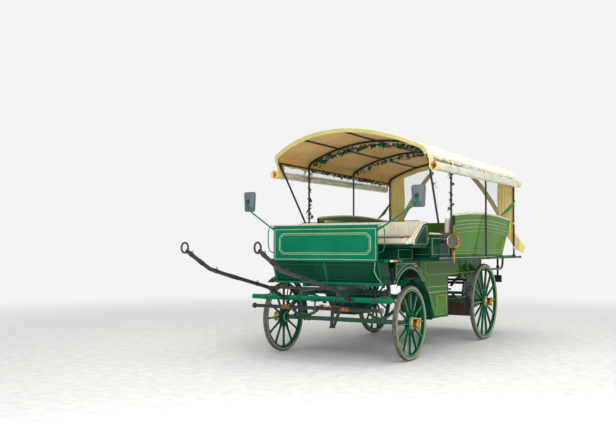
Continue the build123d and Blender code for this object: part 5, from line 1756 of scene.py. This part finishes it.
guard_edges = bmesh.new()
guard_bolts = bmesh.new()
for hand in (-1, 1):
    for y in (0.843, 0.933):
        rod(guard_edges, [
            (front_axle + 0.5225 * cos(radians(angle)), hand * y, front_radius + 0.5225 * sin(radians(angle)))
            for angle in range(58, 181, 3)
        ], 0.0042)
    for angle in (100, 140):
        spot = Vector((cos(radians(angle)), 0, sin(radians(angle))))
        for y in (0.862, 0.915):
            centre = Vector((front_axle, hand * y, front_radius))
            dome(guard_bolts, centre + spot * 0.524, spot, 0.0065, 0.004, 8)
settle("guard_edges", guard_edges, deep_green, "fore_carriage")
settle("guard_bolts", guard_bolts, green_iron, "fore_carriage")


def axle_fittings(name, axle_x, radius, body):
    """Collars and clips along an axle, with their bolts."""
    collars = bmesh.new()
    for hand in (-1, 1):
        turned(collars, [
            (-0.010, 0.0255), (-0.010, 0.040), (0.006, 0.040), (0.012, 0.033), (0.012, 0.0255),
            (-0.010, 0.0255),
        ], (axle_x, hand * 0.812, radius), (0, hand, 0), 24)
        for shift in (-0.030, 0.030):
            board(collars, (axle_x - 0.031, hand * spring_y + shift - 0.008, radius - 0.0315),
                  (axle_x + 0.031, hand * spring_y + shift + 0.008, radius - 0.0240), 0.0015)
            for along in (-0.0285, 0.0285):
                rod(collars, [
                    (axle_x + along, hand * spring_y + shift, radius - 0.036),
                    (axle_x + along, hand * spring_y + shift, radius + 0.040),
                ], 0.0050)
    settle(f"{name}_fittings", collars, green_iron, body)


axle_fittings("front_axle", front_axle, front_radius, "fore_carriage")
axle_fittings("rear_axle", rear_axle, rear_radius, "carriage")

ring_bolts = bmesh.new()
for k in range(12):
    angle = 2 * pi * (k + 0.5) / 12
    place = Vector((front_axle + 0.2775 * cos(angle), 0.2775 * sin(angle), 0.781))
    dome(ring_bolts, place, (0, 0, -1), 0.008, 0.006, 6)
settle("turntable_bolts", ring_bolts, green_iron, "fore_carriage")

frame_bolts = bmesh.new()
for hand in (-1, 1):
    for x in (0.87, 0.64, 0.38):
        dome(frame_bolts, (x, hand * 0.3852, 0.864), (0, hand, 0), 0.010, 0.007, 6)
    for x in (-0.185, -0.925, -1.30, -2.315):
        dome(frame_bolts, (x, hand * 0.3852, 0.908), (0, hand, 0), 0.010, 0.007, 6)
    for x in (-1.425, -3.025):
        turned(frame_bolts, [
            (0.0, 0.0162), (0.0, 0.040), (0.005, 0.040), (0.008, 0.022), (0.030, 0.0185), (0.030, 0.0162),
            (0.0, 0.0162),
        ], (x, hand * 0.8, 1.150), (0, 0, -1), 20)
settle("frame_bolts", frame_bolts, green_iron)

# Draught bar: rusted clamps, a short chain, end caps, and the nut of its pin
bar_trim = bmesh.new()
for y in (0.395, -0.395):
    collar(bar_trim, (bar_x, y, bar_z), (0, 1, 0), 0.055, 0.0212, 0.0262, 24)
    for shift in (-0.032, 0.032):
        dome(bar_trim, (1.3405, y + shift, bar_z), (1, 0, 0), 0.009, 0.006, 6)
links = 9
for k in range(links):
    middle = Vector((1.3400, 0.060 + 0.030 * k, 0.648 - 0.006 * sin(pi * k / (links - 1))))
    flat = Vector((0, 0, 1)) if k % 2 else Vector((1, 0, 0))
    ring = [
        middle + Vector((0, 0.0205 * cos(2 * pi * j / 14), 0)) + flat * 0.0105 * sin(2 * pi * j / 14)
        for j in range(14)
    ]
    rod(bar_trim, ring, 0.0036, closed=True)
settle("draught_bar_clamps", bar_trim, rusty_iron, "draught_bar")
bar_ends = bmesh.new()
for hand in (-1, 1):
    turned(bar_ends, [
        (-0.0010, 0.0), (-0.0010, 0.0295), (0.002, 0.0285), (0.0065, 0.0200), (0.0085, 0.0080), (0.009, 0.0),
    ], (bar_x, hand * 0.860, bar_z), (0, hand, 0), 24)
    collar(bar_ends, (bar_x, hand * 0.845, bar_z), (0, 1, 0), 0.004, 0.0302, 0.0325, 24)
settle("draught_bar_ends", bar_ends, bright_steel, "draught_bar")
pin_nut = bmesh.new()
turned(pin_nut, [(0.0, 0.0), (0.0, 0.0215), (0.013, 0.0215), (0.0145, 0.017), (0.0145, 0.0)],
       (bar_x, 0, 0.5970), (0, 0, -1), 6)
settle("draught_pin_nut", pin_nut, green_iron, "fore_carriage", smooth=False)

# Shafts: leather wrapping near the tips, ferrules and staples
shaft_line = [
    (1.285, 0.722), (1.635, 0.862), (2.085, 0.958), (2.435, 1.032), (2.685, 1.092), (2.925, 1.215),
    (3.045, 1.280),
]
wraps = bmesh.new()
ferrules = bmesh.new()
for hand in (-1, 1):
    for (x0, z0), (x1, z1), low, high in (
        (shaft_line[2], shaft_line[3], 0.30, 0.74), (shaft_line[4], shaft_line[5], 0.45, 0.72),
    ):
        start = Vector((x0, hand * 0.44, z0))
        along = Vector((x1 - x0, 0, z1 - z0))
        reach = along.length
        along.normalize()
        profile = []
        turns = 9
        for k in range(turns * 4 + 1):
            share = low + (high - low) * k / (turns * 4)
            profile.append((share * reach, 0.0222 + 0.0016 * abs(sin(pi * k / 4))))
        first, last = profile[0][0], profile[-1][0]
        turned(wraps, [(first, 0.0209)] + profile + [(last, 0.0209), (first, 0.0209)], start, along, 20)
    for (x0, z0), (x1, z1), share in (
        (shaft_line[0], shaft_line[1], 0.30), (shaft_line[0], shaft_line[1], 0.72),
        (shaft_line[1], shaft_line[2], 0.45), (shaft_line[3], shaft_line[4], 0.55),
        (shaft_line[5], shaft_line[6], 0.40),
    ):
        start = Vector((x0, hand * 0.44, z0)).lerp(Vector((x1, hand * 0.44, z1)), share)
        along = Vector((x1 - x0, 0, z1 - z0)).normalized()
        collar(ferrules, start, along, 0.016, 0.0211, 0.0240, 20)
        up = Vector((-along.z, 0, along.x))
        rod(ferrules, [
            start + up * 0.022 - along * 0.014, start + up * 0.040 - along * 0.010,
            start + up * 0.040 + along * 0.010, start + up * 0.022 + along * 0.014,
        ], 0.0035, 0.008)
settle("shaft_wraps", wraps, strap_black, "shafts")
settle("shaft_ferrules", ferrules, black_iron, "shafts")

# Brakes: wooden shoe faces and bolts
shoes = bmesh.new()
brake_bolts = bmesh.new()
for hand in (-1, 1):
    board(shoes, (-1.3785, hand * 0.852, 0.483), (-1.3580, hand * 0.898, 0.597), 0.004, 3)
    for z in (0.510, 0.570):
        dome(brake_bolts, (-1.337, hand * 0.875, z), (1, 0, 0), 0.009, 0.006, 6)
    dome(brake_bolts, (-1.317, hand * 0.8502, 0.869), (0, hand, 0), 0.014, 0.009, 6)
settle("brake_shoe_faces", shoes, step_brown)
settle("brake_bolts", brake_bolts, green_iron)
